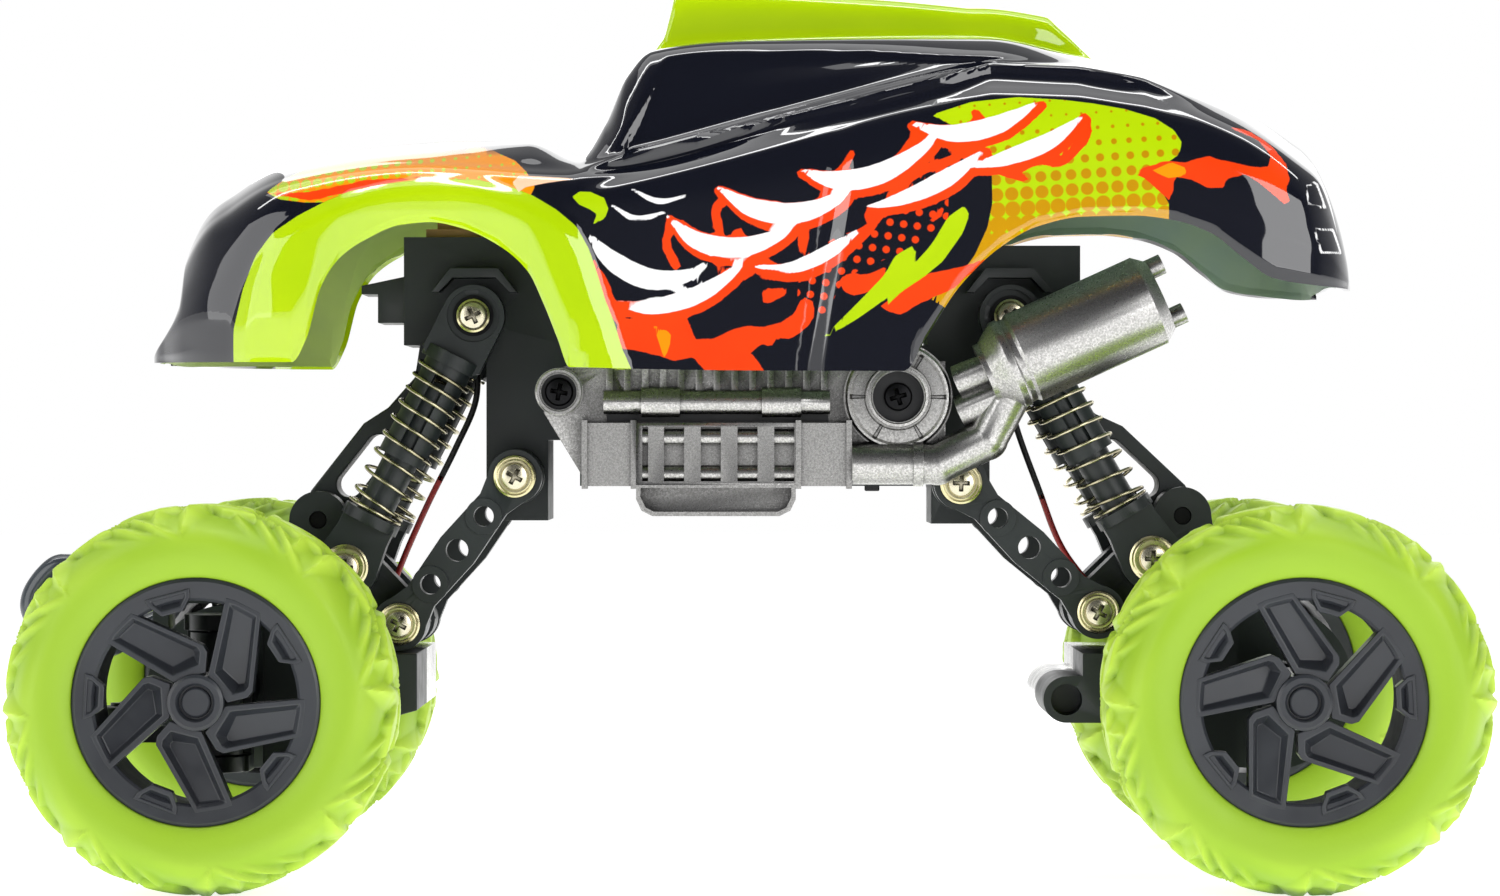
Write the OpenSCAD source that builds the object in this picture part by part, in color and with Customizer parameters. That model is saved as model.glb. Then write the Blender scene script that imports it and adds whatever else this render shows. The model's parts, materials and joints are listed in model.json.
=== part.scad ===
// Toy rock-crawler truck: a light shell on two solid driven axles.
// Millimetres. The front is at -X, the truck's left side is at -Y, the ground is at z = 0.

/* [Wheels] */
// Diameter of a wheel over its lugs
wheel_d = 70; // [68:0.5:71]
// Width of a tyre
tyre_w = 34; // [32:0.5:35]
// Diameter of a rim over its outer ring
rim_d = 44; // [43:0.5:45]
// Distance between the front and the rear axle
wheelbase = 196; // [195:0.5:198]
// Distance between the middles of the left and right tyres
track = 116; // [115:0.5:120]
// Lug pairs round one tyre
lug_pairs = 16; // [10:1:18]

/* [Suspension] */
// Radius of a pivot screw's shank
pin_r = 1.6; // [1.4:0.05:1.7]
// Radial running clearance of a pivot
fit = 0.06; // [0.03:0.01:0.09]
// Distance of the lower links from the middle of the truck
link_y = 22; // [21.5:0.1:22.5]
// Distance of the shocks from the middle of the truck
shock_y = 20; // [19.8:0.1:20.4]
// Turns of a coil spring
spring_turns = 10; // [8:1:12]
// Radius of the spring wire
wire_r = 0.35; // [0.25:0.05:0.4]

/* [Drive] */
// Radius of the axle shafts
shaft_r = 2.5; // [2.3:0.1:2.7]

/* [Body shell] */
// Half width of the shell at the sills
shell_half_w = 47.7; // [46:0.1:49]
// Wall thickness of the shell
shell_t = 1.1; // [0.9:0.1:1.4]

/* [Hidden] */
$fn = 40;

// The tow hook reaches further than the rear tyres, so the axles sit behind the middle of the part
mid_x = 2.95;
wheel_r = wheel_d / 2;
rim_r = rim_d / 2;
hub_z = wheel_r;
// Per axle, front then rear: side of the truck, then points as [x, z] from midway between the axles
END = [-1, 1];
HUB = [[-wheelbase / 2, hub_z], [wheelbase / 2, hub_z]];
LINK_TOP = [[-43.7, 74.7], [39.2, 73.5]];
LINK_EYE = [[-65.2, 47.3], [64.7, 49.5]];
SHOCK_TOP = [[-51.5, 104.6], [48.5, 104.6]];
SHOCK_EYE = [[-75.3, 57.8], [74.9, 59.4]];
ARM_EYE = [[-81, 66.5], [81.1, 67.3]];
// The upper arm is parallel to the lower links and as long, so the axle keeps its tilt
ARM_TOP = [for (e = [0, 1]) ARM_EYE[e] + LINK_TOP[e] - LINK_EYE[e]];
// Drive gears: module in millimetres, then teeth on the axle shaft and on the motor pinion
gear_module = 0.6;
gear_teeth = 42;
pinion_teeth = 10;
gear_distance = gear_module * (gear_teeth + pinion_teeth) / 2;
kingpin_y = 35.5;
tie_rod_u = -18;
dark = [0.13, 0.15, 0.16];
slate = [0.29, 0.29, 0.32];
silver = [0.72, 0.72, 0.72];
lime = [0.58, 0.86, 0.18];
nickel = [0.75, 0.72, 0.62];

// ---- helpers -------------------------------------------------------------------------------

module at_mid() {
  translate([mid_x, 0, 0]) children();
}

// A flat shape drawn in x and z, given thickness from y0 to y1
module plate_y(y0, y1) {
  translate([0, y1, 0]) rotate([90, 0, 0]) linear_extrude(y1 - y0) children();
}

// A round bar along Y at the point p = [x, z]
module bar_y(p, r, y0, y1) {
  translate([p[0], y0, p[1]]) rotate([-90, 0, 0]) cylinder(r = r, h = y1 - y0);
}

// A round bar along X at height z and distance y
module bar_x(x0, x1, y, z, r) {
  translate([x0, y, z]) rotate([0, 90, 0]) cylinder(r = r, h = x1 - x0);
}

module box(lo, hi) {
  translate(lo) cube(hi - lo);
}

// A round rod between two points
module rod(a, b, r) {
  v = b - a;
  len = norm(v);
  translate(a) rotate([0, acos(v[2] / len), atan2(v[1], v[0])]) cylinder(r = r, h = len);
}

module both_sides() {
  children();
  mirror([0, 1, 0]) children();
}

// Places children drawn on the left side, or their mirror image on the right
module side(s) {
  if (s < 0) children();
  else mirror([0, 1, 0]) children();
}

// Axle frame: u runs from the hub towards the middle of the truck, v runs up from the hub
module axle_frame(e) {
  translate([HUB[e][0], 0, HUB[e][1]]) mirror([e, 0, 0]) children();
}

function to_axle(e, p) = [-END[e] * (p[0] - HUB[e][0]), p[1] - HUB[e][1]];

// ---- body shell ----------------------------------------------------------------------------

// Half width at the sill, along the truck
SILL_W = [[-111.5, 12], [-111, 22], [-108, 31], [-104, 38], [-98, 43], [-90, 46.5], [-83, 47.7],
          [90, 47.7], [100, 46.5], [106, 43.5], [109.6, 38], [110.9, 30]];
// Lower edge, with the two wheel arches
EDGE_Z = [[-111.5, 95.8], [-83.2, 95.6], [-80.5, 100], [-78, 109], [-74.5, 114.5], [-69.5, 118],
          [-63.5, 120.5], [-57.9, 121], [-52, 119.8], [-46, 117], [-40.3, 112], [-37.4, 106],
          [-35, 100], [-32.8, 94.7], [28, 94], [32, 100], [38.2, 109.5], [45.8, 116.7],
          [52.1, 120.2], [60.4, 122], [70, 122.2], [76.9, 121.4], [84, 118.9], [89.4, 114.7],
          [95, 110.9], [100.4, 109.9], [110.9, 109]];
// Height where the side starts to curve in
SHOULDER_Z = [[-111.5, 96.2], [-104, 105], [-95, 113], [-85, 120], [-60, 123.5], [-31, 122],
              [0, 122], [44, 126], [80, 126], [100, 121], [110.9, 109.6]];
// Belt line: half width and height
BELT_W = [[-111.5, 8], [-104, 30], [-95, 36], [-85, 39], [-60, 41], [-22, 41.5], [44, 38],
          [90, 38], [104, 34], [110.9, 24]];
BELT_Z = [[-111.5, 96.4], [-105, 107], [-103.9, 115], [-95, 124.5], [-85, 129.5], [-60, 132.5],
          [-31, 131], [44, 150], [60, 149.5], [72, 147.5], [86, 142], [94, 138], [101, 133.5],
          [104.3, 131], [108.7, 121], [110.9, 110]];
// Roof edge: half width and height
ROOF_W = [[-111.5, 5], [-104, 20], [-95, 25], [-60, 28], [-31, 32], [-16, 31], [44, 30],
          [60, 28], [90, 24], [110.9, 14]];
ROOF_Z = [[-111.5, 96.5], [-105, 109], [-103.9, 118], [-95, 127.4], [-85, 132.6], [-60, 136],
          [-41, 136.3], [-31.4, 133.6], [-26.6, 139.7], [-22.8, 148], [-18.1, 152.8], [0, 154.8],
          [44, 155.4], [60, 152.6], [72, 149.9], [86, 145], [94, 141.2], [101, 137], [104.3, 134.6],
          [108.7, 123.5], [110.9, 110.2]];
// Height of the middle line, without the scoop
CROWN_Z = [[-111.5, 96.6], [-108, 102.5], [-105, 110], [-103.9, 119.2], [-100, 123], [-95.3, 127.6],
           [-91, 131], [-85.6, 133.7], [-66.8, 137.1], [-54.8, 138], [-41.1, 137.7], [-31.4, 134.6],
           [-26.6, 140.9], [-22.8, 149.5], [-18.1, 154.4], [0, 156.5], [40, 157.5], [59.8, 153.8],
           [72.3, 151], [79.5, 148.9], [86.8, 146], [94, 142.3], [101.4, 138.2], [104.3, 136.1],
           [108.7, 124.5], [110.9, 110.6]];
// Rise of the roof scoop above the middle line
SCOOP_H = [[-18.1, 0], [-16, 2.6], [-14.1, 10.2], [9.3, 8.4], [28.2, 6.8], [41, 5.5], [56, 6.4],
           [59.8, 3.8], [64.5, 0]];
SHELL_X = [-111.5, -110.5, -108, -105, -103.9, -100, -95.3, -91, -85.6, -83.2, -80.5, -78, -74.5,
           -69.5, -63.5, -57.9, -52, -46, -40.3, -37.4, -35, -32.8, -31.4, -26.6, -22.8, -18.1, -16,
           -14.1, -5, 9.3, 19, 28.2, 32, 38.2, 45.8, 52.1, 56, 59.8, 64.5, 70, 76.9, 84, 89.4, 95,
           100.4, 104.3, 106.5, 108.7, 109.9, 110.9];
scoop_half_w = 18;

// Height of the roof between its edge and the middle line
function roof_z(x, y) =
  lookup(x, CROWN_Z) - (lookup(x, CROWN_Z) - lookup(x, ROOF_Z)) * pow(y / lookup(x, ROOF_W), 2);

// Half a cross-section as [y, z], from the sill up to the middle line, moved in by the wall t
function half_section(x, t) =
  let (w = lookup(x, SILL_W) * shell_half_w / 47.7, lo = lookup(x, EDGE_Z))
  let (sh = max(lookup(x, SHOULDER_Z), lo + 0.4), bw = min(lookup(x, BELT_W), w - 1))
  let (bz = max(lookup(x, BELT_Z), sh + 0.2), rw = lookup(x, ROOF_W))
  let (rz = max(lookup(x, ROOF_Z), bz + 0.1), top = lookup(x, SCOOP_H))
  let (scoop_w = min(scoop_half_w, rw * 0.62))
  [
    [w - t, lo],
    [w - t, (lo + sh) / 2],
    [w - t, sh],
    [w - 0.12 * (w - bw) - t, sh + 0.45 * (bz - sh) - 0.1 * t],
    [w - 0.42 * (w - bw) - 0.8 * t, sh + 0.8 * (bz - sh) - 0.5 * t],
    [bw - 0.6 * t, bz - 0.8 * t],
    [(bw + rw) / 2 + 0.03 * bw - 0.7 * t, (bz + rz) / 2 - 0.7 * t],
    [rw - 0.4 * t, rz - t],
    [(rw + scoop_w) / 2, roof_z(x, (rw + scoop_w) / 2) - t],
    [scoop_w + 0.8 - 0.9 * t, roof_z(x, scoop_w + 0.8) - t],
    [scoop_w - 1 - 0.9 * t, roof_z(x, scoop_w - 1) + top * 0.94 - t],
    [0, lookup(x, CROWN_Z) + top - t]
  ];

function section(x, t) =
  let (h = half_section(x, t), n = len(h))
  concat([for (p = h) [-p[0], p[1]]], [for (i = [n - 2 : -1 : 0]) h[i]]);

module body_shell() at_mid() {
  stations = len(SHELL_X);
  across = len(section(0, 0));
  skin = stations * across;
  inner_x = 1 - shell_t / 112;
  outer = [for (x = SHELL_X) for (p = section(x, 0)) [x, p[0], p[1]]];
  inner = [for (x = SHELL_X) for (p = section(x, shell_t)) [x * inner_x, p[0], p[1]]];
  cells = [for (i = [0 : stations - 2]) for (j = [0 : across - 2]) i * across + j];
  right = across - 1;
  last = (stations - 1) * across;
  faces = concat(
    [for (c = cells) [c, c + across + 1, c + across]],
    [for (c = cells) [c, c + 1, c + across + 1]],
    [for (c = cells) [skin + c, skin + c + across, skin + c + across + 1]],
    [for (c = cells) [skin + c, skin + c + across + 1, skin + c + 1]],
    [for (i = [0 : stations - 2]) let (a = i * across, b = a + across) [a, b, skin + b]],
    [for (i = [0 : stations - 2]) let (a = i * across, b = a + across) [a, skin + b, skin + a]],
    [for (i = [0 : stations - 2]) let (a = i * across + right, b = a + across) [a, skin + b, b]],
    [for (i = [0 : stations - 2]) let (a = i * across + right, b = a + across)
      [a, skin + a, skin + b]],
    [for (j = [0 : across - 2]) [j, skin + j + 1, j + 1]],
    [for (j = [0 : across - 2]) [j, skin + j, skin + j + 1]],
    [for (j = [0 : across - 2]) [last + j, last + j + 1, skin + last + j + 1]],
    [for (j = [0 : across - 2]) [last + j, skin + last + j + 1, skin + last + j]]
  );
  color(lime) polyhedron(concat(outer, inner), faces);
}

// ---- chassis -------------------------------------------------------------------------------

tub_lo = [-31.4, -30.5, 73];
tub_hi = [30.9, 30.5, 97];
bay_lo = [-24, -17, 73];
bay_hi = [18, 17, 93.6];
switch_x = 25;

module chassis_tub() at_mid() {
  color(dark) difference() {
    box(tub_lo, tub_hi);
    // battery bay, open below
    box(bay_lo - [0, 0, 1], bay_hi);
    // seat of the battery door
    box([bay_lo[0] - 2, bay_lo[1] - 3, 72], [bay_hi[0] + 2, bay_hi[1] + 4, 75.2]);
    // slot and pocket of the power switch
    box([switch_x - 3.5, -2, 72], [switch_x + 3.5, 2, 75]);
    box([switch_x - 4.5, -3.5, 75], [switch_x + 4.5, 3.5, 80]);
    // holes for the trim screws
    for (s = [-1, 1]) bar_y([27.2, 89.4], 1.3, s > 0 ? 24 : -31, s > 0 ? 31 : -24);
  }
}

// Outline of a shock tower: top box, column and lower link bracket
function tower_outline(e) = e == 0
  ? [[-65, 119.6], [-34, 119.6], [-34, 99.3], [-31.5, 99.3], [-31.5, 81.5], [-37.9, 81.5],
     [-37.9, 66.4], [-47.8, 66.4], [-49.5, 74.5], [-49.5, 81.5], [-49.5, 99.3], [-65, 99.3]]
  : [[62, 118], [33.4, 118], [33.4, 99.3], [31, 99.3], [31, 81.5], [34, 81.5], [34, 65.8],
     [43.4, 65.8], [45, 73.5], [45, 81.5], [47, 99.3], [62, 99.3]];

module tower(e) {
  s = END[e];
  top = e == 0 ? 119.6 : 118;
  post_top = e == 0 ? 135.2 : 151.6;
  color(dark) difference() {
    union() {
      plate_y(-13.8, 13.8) polygon(tower_outline(e));
      // wide foot that carries the lower links
      plate_y(-18.8, 18.8) translate(LINK_TOP[e]) circle(r = 5.2);
      // lugs of the upper arm
      for (y = [-9.5, 6.5]) plate_y(y, y + 3) union() {
        translate(ARM_TOP[e]) circle(r = 3.6);
        polygon([ARM_TOP[e] + [s * 3.6, 0], ARM_TOP[e] - [s * 3.6, 0], [s * 54.4, 101], [s * 62, 101]]);
      }
      // bosses of the shocks, with a hooked guard over each
      plate_y(-16.2, 16.2) translate(SHOCK_TOP[e]) circle(r = 3.4);
      both_sides() plate_y(-20, -13) polygon([
        SHOCK_TOP[e] + [-8, 4.5], SHOCK_TOP[e] + [-4.5, 9], SHOCK_TOP[e] + [4.5, 9],
        SHOCK_TOP[e] + [8, 4.5], SHOCK_TOP[e] + [6.6, 4.5], SHOCK_TOP[e] + [4, 7.2],
        SHOCK_TOP[e] + [-4, 7.2], SHOCK_TOP[e] + [-6.6, 4.5]]);
      // end bracket
      plate_y(-9, 9) polygon([
        [s * 62, top - 6.6], [s * (65 + 8.3 * (1 - e)), top - 9], [s * (65 + 8.3 * (1 - e)), top - 10.6],
        [s * 70.2, top - 10.6], [s * 70.2, top - 16], [s * 61, top - 16]]);
      // post that holds the shell up
      translate([s * 45, 0, top - 2]) cylinder(r = 3.2, h = post_top - top + 2);
    }
    // screw hole of the lower links and of the shocks, then the pin hole of the upper arm
    bar_y(LINK_TOP[e], pin_r + fit, -20, 20);
    bar_y(SHOCK_TOP[e], pin_r + fit, -20, 20);
    bar_y(ARM_TOP[e], pin_r + fit, -20, 20);
    // room for the upper arm's eye
    plate_y(-6.5, 6.5) translate(ARM_TOP[e]) circle(r = 5.2);
  }
}

module front_tower() at_mid() { tower(0); }
module rear_tower() at_mid() { tower(1); }

module battery_pack() at_mid() {
  color([0.2, 0.35, 0.7]) for (i = [0 : 2])
    bar_y([bay_lo[0] + 6.95 + i * 14.05, 86.6], 6.9, -15, 15);
}

door_hinge = [0, 19.2, 74.1];

module battery_door() at_mid() {
  color(dark) union() {
    box([bay_lo[0] - 1.7, bay_lo[1] - 2.7, 73.1], [bay_hi[0] + 1.7, bay_hi[1] + 2, 74.9]);
    bar_x(bay_lo[0] - 1.7, bay_hi[0] + 1.7, door_hinge[1], door_hinge[2], 1);
    // finger lip
    box([-8, bay_lo[1] - 2.7, 72.1], [8, bay_lo[1] - 1.5, 73.2]);
  }
}

module circuit_board() at_mid() {
  color([0.62, 0.45, 0.25]) union() {
    box([-61, -11, 119.7], [-50.5, 11, 121.2]);
    box([-59, -8, 121.2], [-54, -2, 123.6]);
    box([-58, 2, 121.2], [-53, 8, 123]);
    translate([-52.2, -6, 121.2]) cylinder(r = 1.5, h = 3);
  }
}

module power_switch() at_mid() {
  color(dark) union() {
    box([switch_x - 3.2, -1.7, 71.8], [switch_x - 0.4, 1.7, 75.4]);
    box([switch_x - 4.2, -3.1, 75.3], [switch_x + 0.8, 3.1, 77]);
  }
}

// ---- silver side trim: rocker box, rail, skid tray, manifold and exhaust --------------------

trim_in = -31;
rocker = [[-30.9, 73], [18.7, 84.6]];
window_x = [-20.9, 8.4];
screw_front = [-35.1, 90.3];
screw_big = [27.2, 89.4];
muffler_a = [43.2, 93.4];
muffler_tilt = 24.5;
muffler_y = -36.5;

// Ring or disc on the trim, facing out from y = -h_out
module trim_disc(p, r, out) {
  bar_y(p, r, out, trim_in);
}

module muffler() {
  translate([muffler_a[0], muffler_y, muffler_a[1]]) rotate([0, 90 - muffler_tilt, 0]) {
    rotate_extrude() polygon([[0, 0], [5.9, 0], [5.9, 1], [8.5, 4.4], [8.5, 5.6], [8.1, 6],
                              [8.1, 7], [8.6, 7.6], [8.6, 33], [6.8, 35.2], [0, 35.2]]);
    for (x = [-5.1, 4.7]) translate([x, 0, 33]) cylinder(r = 1.9, h = 5);
  }
}

module side_trim() {
  color(silver) union() {
    trim_body();
    // two rollers across the recesses
    for (z = [75.3, 82]) bar_x(window_x[0] - 0.5, window_x[1] + 0.5, -35, z, 1.5);
  }
}

module trim_body() {
  difference() {
    union() {
      // back plate and triangular front bracket
      plate_y(-32.4, trim_in) polygon([[-31, 75], [36, 75], [36, 96], [-31, 96], [-37.5, 94], [-38, 86.5]]);
      trim_disc(screw_front, 4.4, -36);
      // ribs above the rail
      for (i = [0 : 12]) box([-26.5 + i * 3.3, -34, 90.5], [-25.3 + i * 3.3, -32, 94.6]);
      // rail with two collars
      bar_x(-26.9, 14.7, -34.6, 88.4, 2.2);
      bar_x(-20, -12.9, -34.6, 88.4, 2.75);
      bar_x(2.2, 9.4, -34.6, 88.4, 2.75);
      // rocker box with end flanges
      box([rocker[0][0], -36.6, rocker[0][1]], [rocker[1][0], trim_in, rocker[1][1]]);
      for (x = [rocker[0][0], window_x[0] - 1, window_x[1], rocker[1][0] - 1])
        box([x, -37.2, rocker[0][1] - 0.5], [x + 1, trim_in, rocker[1][1] + 0.5]);
      // skid tray
      plate_y(-37.2, trim_in) polygon([
        [window_x[0], 73.2], [window_x[0], 70.6], [window_x[0] + 1, 68.5], [window_x[0] + 3, 67.5],
        [window_x[1] - 3, 67.5], [window_x[1] - 1, 68.5], [window_x[1], 70.6], [window_x[1], 73.2]]);
      // manifold boss
      trim_disc(screw_big, 10, -35.4);
      trim_disc(screw_big, 5.9, -38);
    }
    // recess behind the window bands
    for (i = [0 : 3]) box([-15.8 + i * 6.75, -38, 73.9], [-12.1 + i * 6.75, -35, 83.9]);
    box([-19.8, -38, 73.9], [-18.7, -35, 83.9]);
    // hollow of the skid tray
    plate_y(-38, -34) polygon([
      [window_x[0] + 0.8, 72.7], [window_x[0] + 0.8, 71], [window_x[0] + 1.7, 69.1],
      [window_x[0] + 3.3, 68.3], [window_x[1] - 3.3, 68.3], [window_x[1] - 1.7, 69.1],
      [window_x[1] - 0.8, 71], [window_x[1] - 0.8, 72.7]]);
    // screw recesses and holes
    bar_y(screw_front, 3.3, -37, -34);
    bar_y(screw_front, 1.3, -40, -30);
    bar_y(screw_big, 4.7, -39, -35.2);
    bar_y(screw_big, 1.3, -40, -30);
    // room for the exhaust pipe behind the manifold boss
    bar_x(18.7, 40, pipe_y, pipe_z, 4.1);
    bar_x(29.8, 32, pipe_y, pipe_z, 4.3);
  }
}

pipe_y = -35;
pipe_z = 77.1;

// Exhaust: a lower pipe that bends up, a short upper pipe and the muffler with two tips
module exhaust() {
  bend = [34.5, pipe_y, pipe_z];
  rise = [43.5, -35.4, 81.6];
  difference() {
    union() {
      bar_x(18.75, bend[0], pipe_y, pipe_z, 3.8);
      bar_x(30, 31.8, pipe_y, pipe_z, 4.2);
      translate(bend) sphere(r = 3.95);
      rod(bend, rise, 3.8);
      translate(rise) sphere(r = 3.95);
      rod(rise, [48, -36.2, 90], 3.8);
      rod([38, -34.8, 92.2], [45.5, -36.2, 95.2], 3);
      rod([38.6, -34.8, 86.6], [46.5, -36.2, 90], 3);
      muffler();
    }
    // outlet bores of the tips
    translate([muffler_a[0], muffler_y, muffler_a[1]]) rotate([0, 90 - muffler_tilt, 0])
      for (x = [-5.1, 4.7]) translate([x, 0, 36]) cylinder(r = 1.3, h = 3);
  }
}

module exhausts() at_mid() { color(silver) both_sides() exhaust(); }
module side_trim_left() at_mid() { side(-1) side_trim(); }
module side_trim_right() at_mid() { side(1) side_trim(); }

// ---- screws --------------------------------------------------------------------------------

// Screw along Y on the left side: shank from y_in out to the head, with a washer of radius w_r
module screw(p, y_in, y_head, w_r, r = pin_r, head_r = 2.6) {
  difference() {
    union() {
      bar_y(p, r, y_head, y_in);
      bar_y(p, w_r, y_head - 0.6, y_head);
      bar_y(p, head_r, y_head - 2, y_head - 0.5);
    }
    for (a = [0, 90]) translate([p[0], y_head - 1.7, p[1]]) rotate([0, a + 20, 0])
      cube([2.6, 1.2, 0.7], center = true);
  }
}

module chassis_screws() at_mid() {
  color(nickel) union() {
    both_sides() for (e = [0, 1]) {
      screw(LINK_TOP[e], -12, -24.6, 3.9);
      screw(SHOCK_TOP[e], -12, -23.2, 3.8);
    }
    both_sides() {
      screw(screw_front, -31.5, -34, 2.9, 1.2);
      screw(screw_big, -26, -35.3, 2.9, 1.2);
    }
    for (e = [0, 1]) bar_y(ARM_TOP[e], pin_r, -9.5, 9.5);
  }
}

// ---- links and arms ------------------------------------------------------------------------

// Lower link: a waisted plate with an eye at each end and three holes between
module lower_link(e) {
  a = LINK_TOP[e];
  b = LINK_EYE[e];
  span = norm(b - a);
  tilt = atan2(b[1] - a[1], b[0] - a[0]);
  color(dark) translate([a[0], 0, a[1]]) rotate([0, -tilt, 0]) difference() {
    union() {
      plate_y(-link_y - 2.4, -link_y + 2.4) union() {
        circle(r = 5);
        translate([span, 0]) circle(r = 5);
        polygon([[0, -5], [6.5, -3.1], [span / 2, -3.9], [span - 6.5, -3.1], [span, -5],
                 [span, 5], [span - 6.5, 3.1], [span / 2, 3.9], [6.5, 3.1], [0, 5]]);
      }
      for (f = [0.27, 0.73]) bar_y([span * f, 0], 3.4, -link_y - 2.9, -link_y);
    }
    for (x = [0, span]) bar_y([x, 0], pin_r + fit, -26, -18);
    for (f = [0.27, 0.73]) bar_y([span * f, 0], 1.9, -26, -18);
    bar_y([span / 2, 0], 2.1, -26, -18);
    for (x = [0, span]) bar_y([x, 0], 4, -link_y - 3, -link_y - 2.2);
  }
}

module front_link_left() at_mid() { side(-1) lower_link(0); }
module front_link_right() at_mid() { side(1) lower_link(0); }
module rear_link_left() at_mid() { side(-1) lower_link(1); }
module rear_link_right() at_mid() { side(1) lower_link(1); }

// Upper arm: a bar that widens into a frame with a long slot near the axle
module upper_arm(e) {
  a = ARM_TOP[e];
  b = ARM_EYE[e];
  span = norm(b - a);
  tilt = atan2(b[1] - a[1], b[0] - a[0]);
  color(dark) translate([a[0], 0, a[1]]) rotate([0, -tilt, 0]) difference() {
    plate_y(-6, 6) union() {
      circle(r = 3.8);
      translate([span, 0]) circle(r = 4);
      polygon([[0, -2.6], [span * 0.3, -3.2], [span * 0.45, -5], [span - 3, -5], [span, -4],
               [span, 4], [span - 3, 5], [span * 0.45, 5], [span * 0.3, 3.2], [0, 2.6]]);
    }
    plate_y(-7, 7) union() {
      translate([span * 0.5, 0]) circle(r = 2.4);
      translate([span - 8.4, 0]) circle(r = 2.4);
      polygon([[span * 0.5, -2.4], [span - 8.4, -2.4], [span - 8.4, 2.4], [span * 0.5, 2.4]]);
    }
    for (x = [0, span]) bar_y([x, 0], pin_r + fit, -7, 7);
  }
}

module front_upper_arm() at_mid() { upper_arm(0); }
module rear_upper_arm() at_mid() { upper_arm(1); }

// ---- axles ---------------------------------------------------------------------------------

case_hub_r = 15.5;
case_half_w = 30;
boss = [39.5, -1.5];

// One half of the axle case, drawn on the left; the motor sits in the right half
module axle_case(e, s) {
  motor = s > 0;
  union() {
    difference() {
      union() {
        plate_y(-case_half_w, 0) union() {
          circle(r = case_hub_r);
          polygon([[0, -15.5], [14, -14.5], [24, -12], [31, -5], [36.5, -3.5], [36.5, 7],
                   [25.5, 7], [20, 12.2], [8, 13.5], [0, 15.5]]);
          if (e == 1) {
            translate(boss) circle(r = 4.3);
            polygon([[30, -5.8], [39.5, -5.8], [39.5, 2.8], [30, 2.8]]);
          }
        }
      }
      // the gear part near the hub is narrow, beside the axle tubes
      box([-20, -40, -20], [8, -12, 20]);
      // hollow for the drive gear and the pinion
      plate_y(-3.6, 1) union() {
        circle(r = 13.8);
        translate([gear_distance, 0]) circle(r = 5.4);
      }
      if (motor) bar_y([gear_distance, 0], 10.3, -26, 1);
      else bar_y([gear_distance, 0], 1.5, -6, 1);
      if (e == 1) bar_y(boss, 2.9, -31, -24);
      bar_y([0, 0], shaft_r + fit, -50, 1);
    }
    difference() {
      union() {
        bar_y([0, 0], 5.6, e == 1 ? -39 : -29, -11.9);
        if (e == 0) {
          box([-6, -29.5, -14.5], [6, -26, 14.5]);
          for (z = [-14.5, 11.5]) {
            box([-6, -kingpin_y, z], [6, -26, z + 3]);
            translate([0, -kingpin_y, z]) cylinder(r = 5, h = 3);
          }
        }
      }
      bar_y([0, 0], shaft_r + fit, -50, 1);
      translate([0, -kingpin_y, -20]) cylinder(r = pin_r + fit, h = 40);
    }
  }
}

// Tow hook in front of the front axle
module tow_hook() {
  path = [[-16, 11.5], [-22, 8], [-30, 6.5], [-38, 12.4], [-38.6, 15.5], [-34.6, 22.6], [-30.5, 22.4]];
  for (i = [0 : len(path) - 2]) hull() {
    translate([path[i][0], 0, path[i][1]]) sphere(r = 2.1, $fn = 24);
    translate([path[i + 1][0], 0, path[i + 1][1]]) sphere(r = 2.1, $fn = 24);
  }
}

module front_axle_case_left() at_mid() { color(dark) axle_frame(0) side(-1) axle_case(0, -1); }
module front_axle_case_right() at_mid() { color(silver) axle_frame(0) side(1) axle_case(0, 1); }
module rear_axle_case_left() at_mid() { color(dark) axle_frame(1) side(-1) axle_case(1, -1); }
module rear_axle_case_right() at_mid() { color(silver) axle_frame(1) side(1) axle_case(1, 1); }

// Bracket on top of the axle case: ears for the links, the shocks and the upper arm
module link_mount(e) {
  arm = to_axle(e, ARM_EYE[e]);
  shock = to_axle(e, SHOCK_EYE[e]);
  link = to_axle(e, LINK_EYE[e]);
  color(dark) difference() {
    union() {
      both_sides() {
        plate_y(-15.4, -7.2) union() {
          translate(arm) circle(r = 5.4);
          polygon([arm + [-5.4, 0], arm + [5.4, 0], [24, 15.6], [9, 15.6]]);
        }
        plate_y(-15.4, -7.2) union() {
          translate(shock) circle(r = 5);
          polygon([shock + [-5, 0], shock + [3.6, 3.6], link + [3.6, 3.6], link + [5, 0],
                   [36, 12.7], [36, 10.6], [20, 12.3], [9, 13.5], [9, 15.6]]);
        }
        plate_y(-19.2, -7.2) translate(link) circle(r = 4.8);
        plate_y(-16.4, -7.2) translate(shock) circle(r = 3.6);
      }
      plate_y(-15.4, 15.4) polygon([[9, 13.42], [20, 12.23], [36, 10.6], [36, 13], [22, 15.6], [9, 16]]);
    }
    for (p = [arm, shock, link]) bar_y(p, pin_r + fit, -20, 20);
  }
}

module front_link_mount() at_mid() { axle_frame(0) link_mount(0); }
module rear_link_mount() at_mid() { axle_frame(1) link_mount(1); }

module axle_screws(e) {
  color(nickel) axle_frame(e) union() {
    both_sides() {
      screw(to_axle(e, LINK_EYE[e]), -8, -24.6, 3.9);
      screw(to_axle(e, SHOCK_EYE[e]), -8, -23.4, 4.3);
    }
    bar_y(to_axle(e, ARM_EYE[e]), pin_r, -15, 15);
  }
}

module front_axle_screws() at_mid() { axle_screws(0); }
module rear_axle_screws() at_mid() { axle_screws(1); }

// ---- drive ---------------------------------------------------------------------------------

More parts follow.
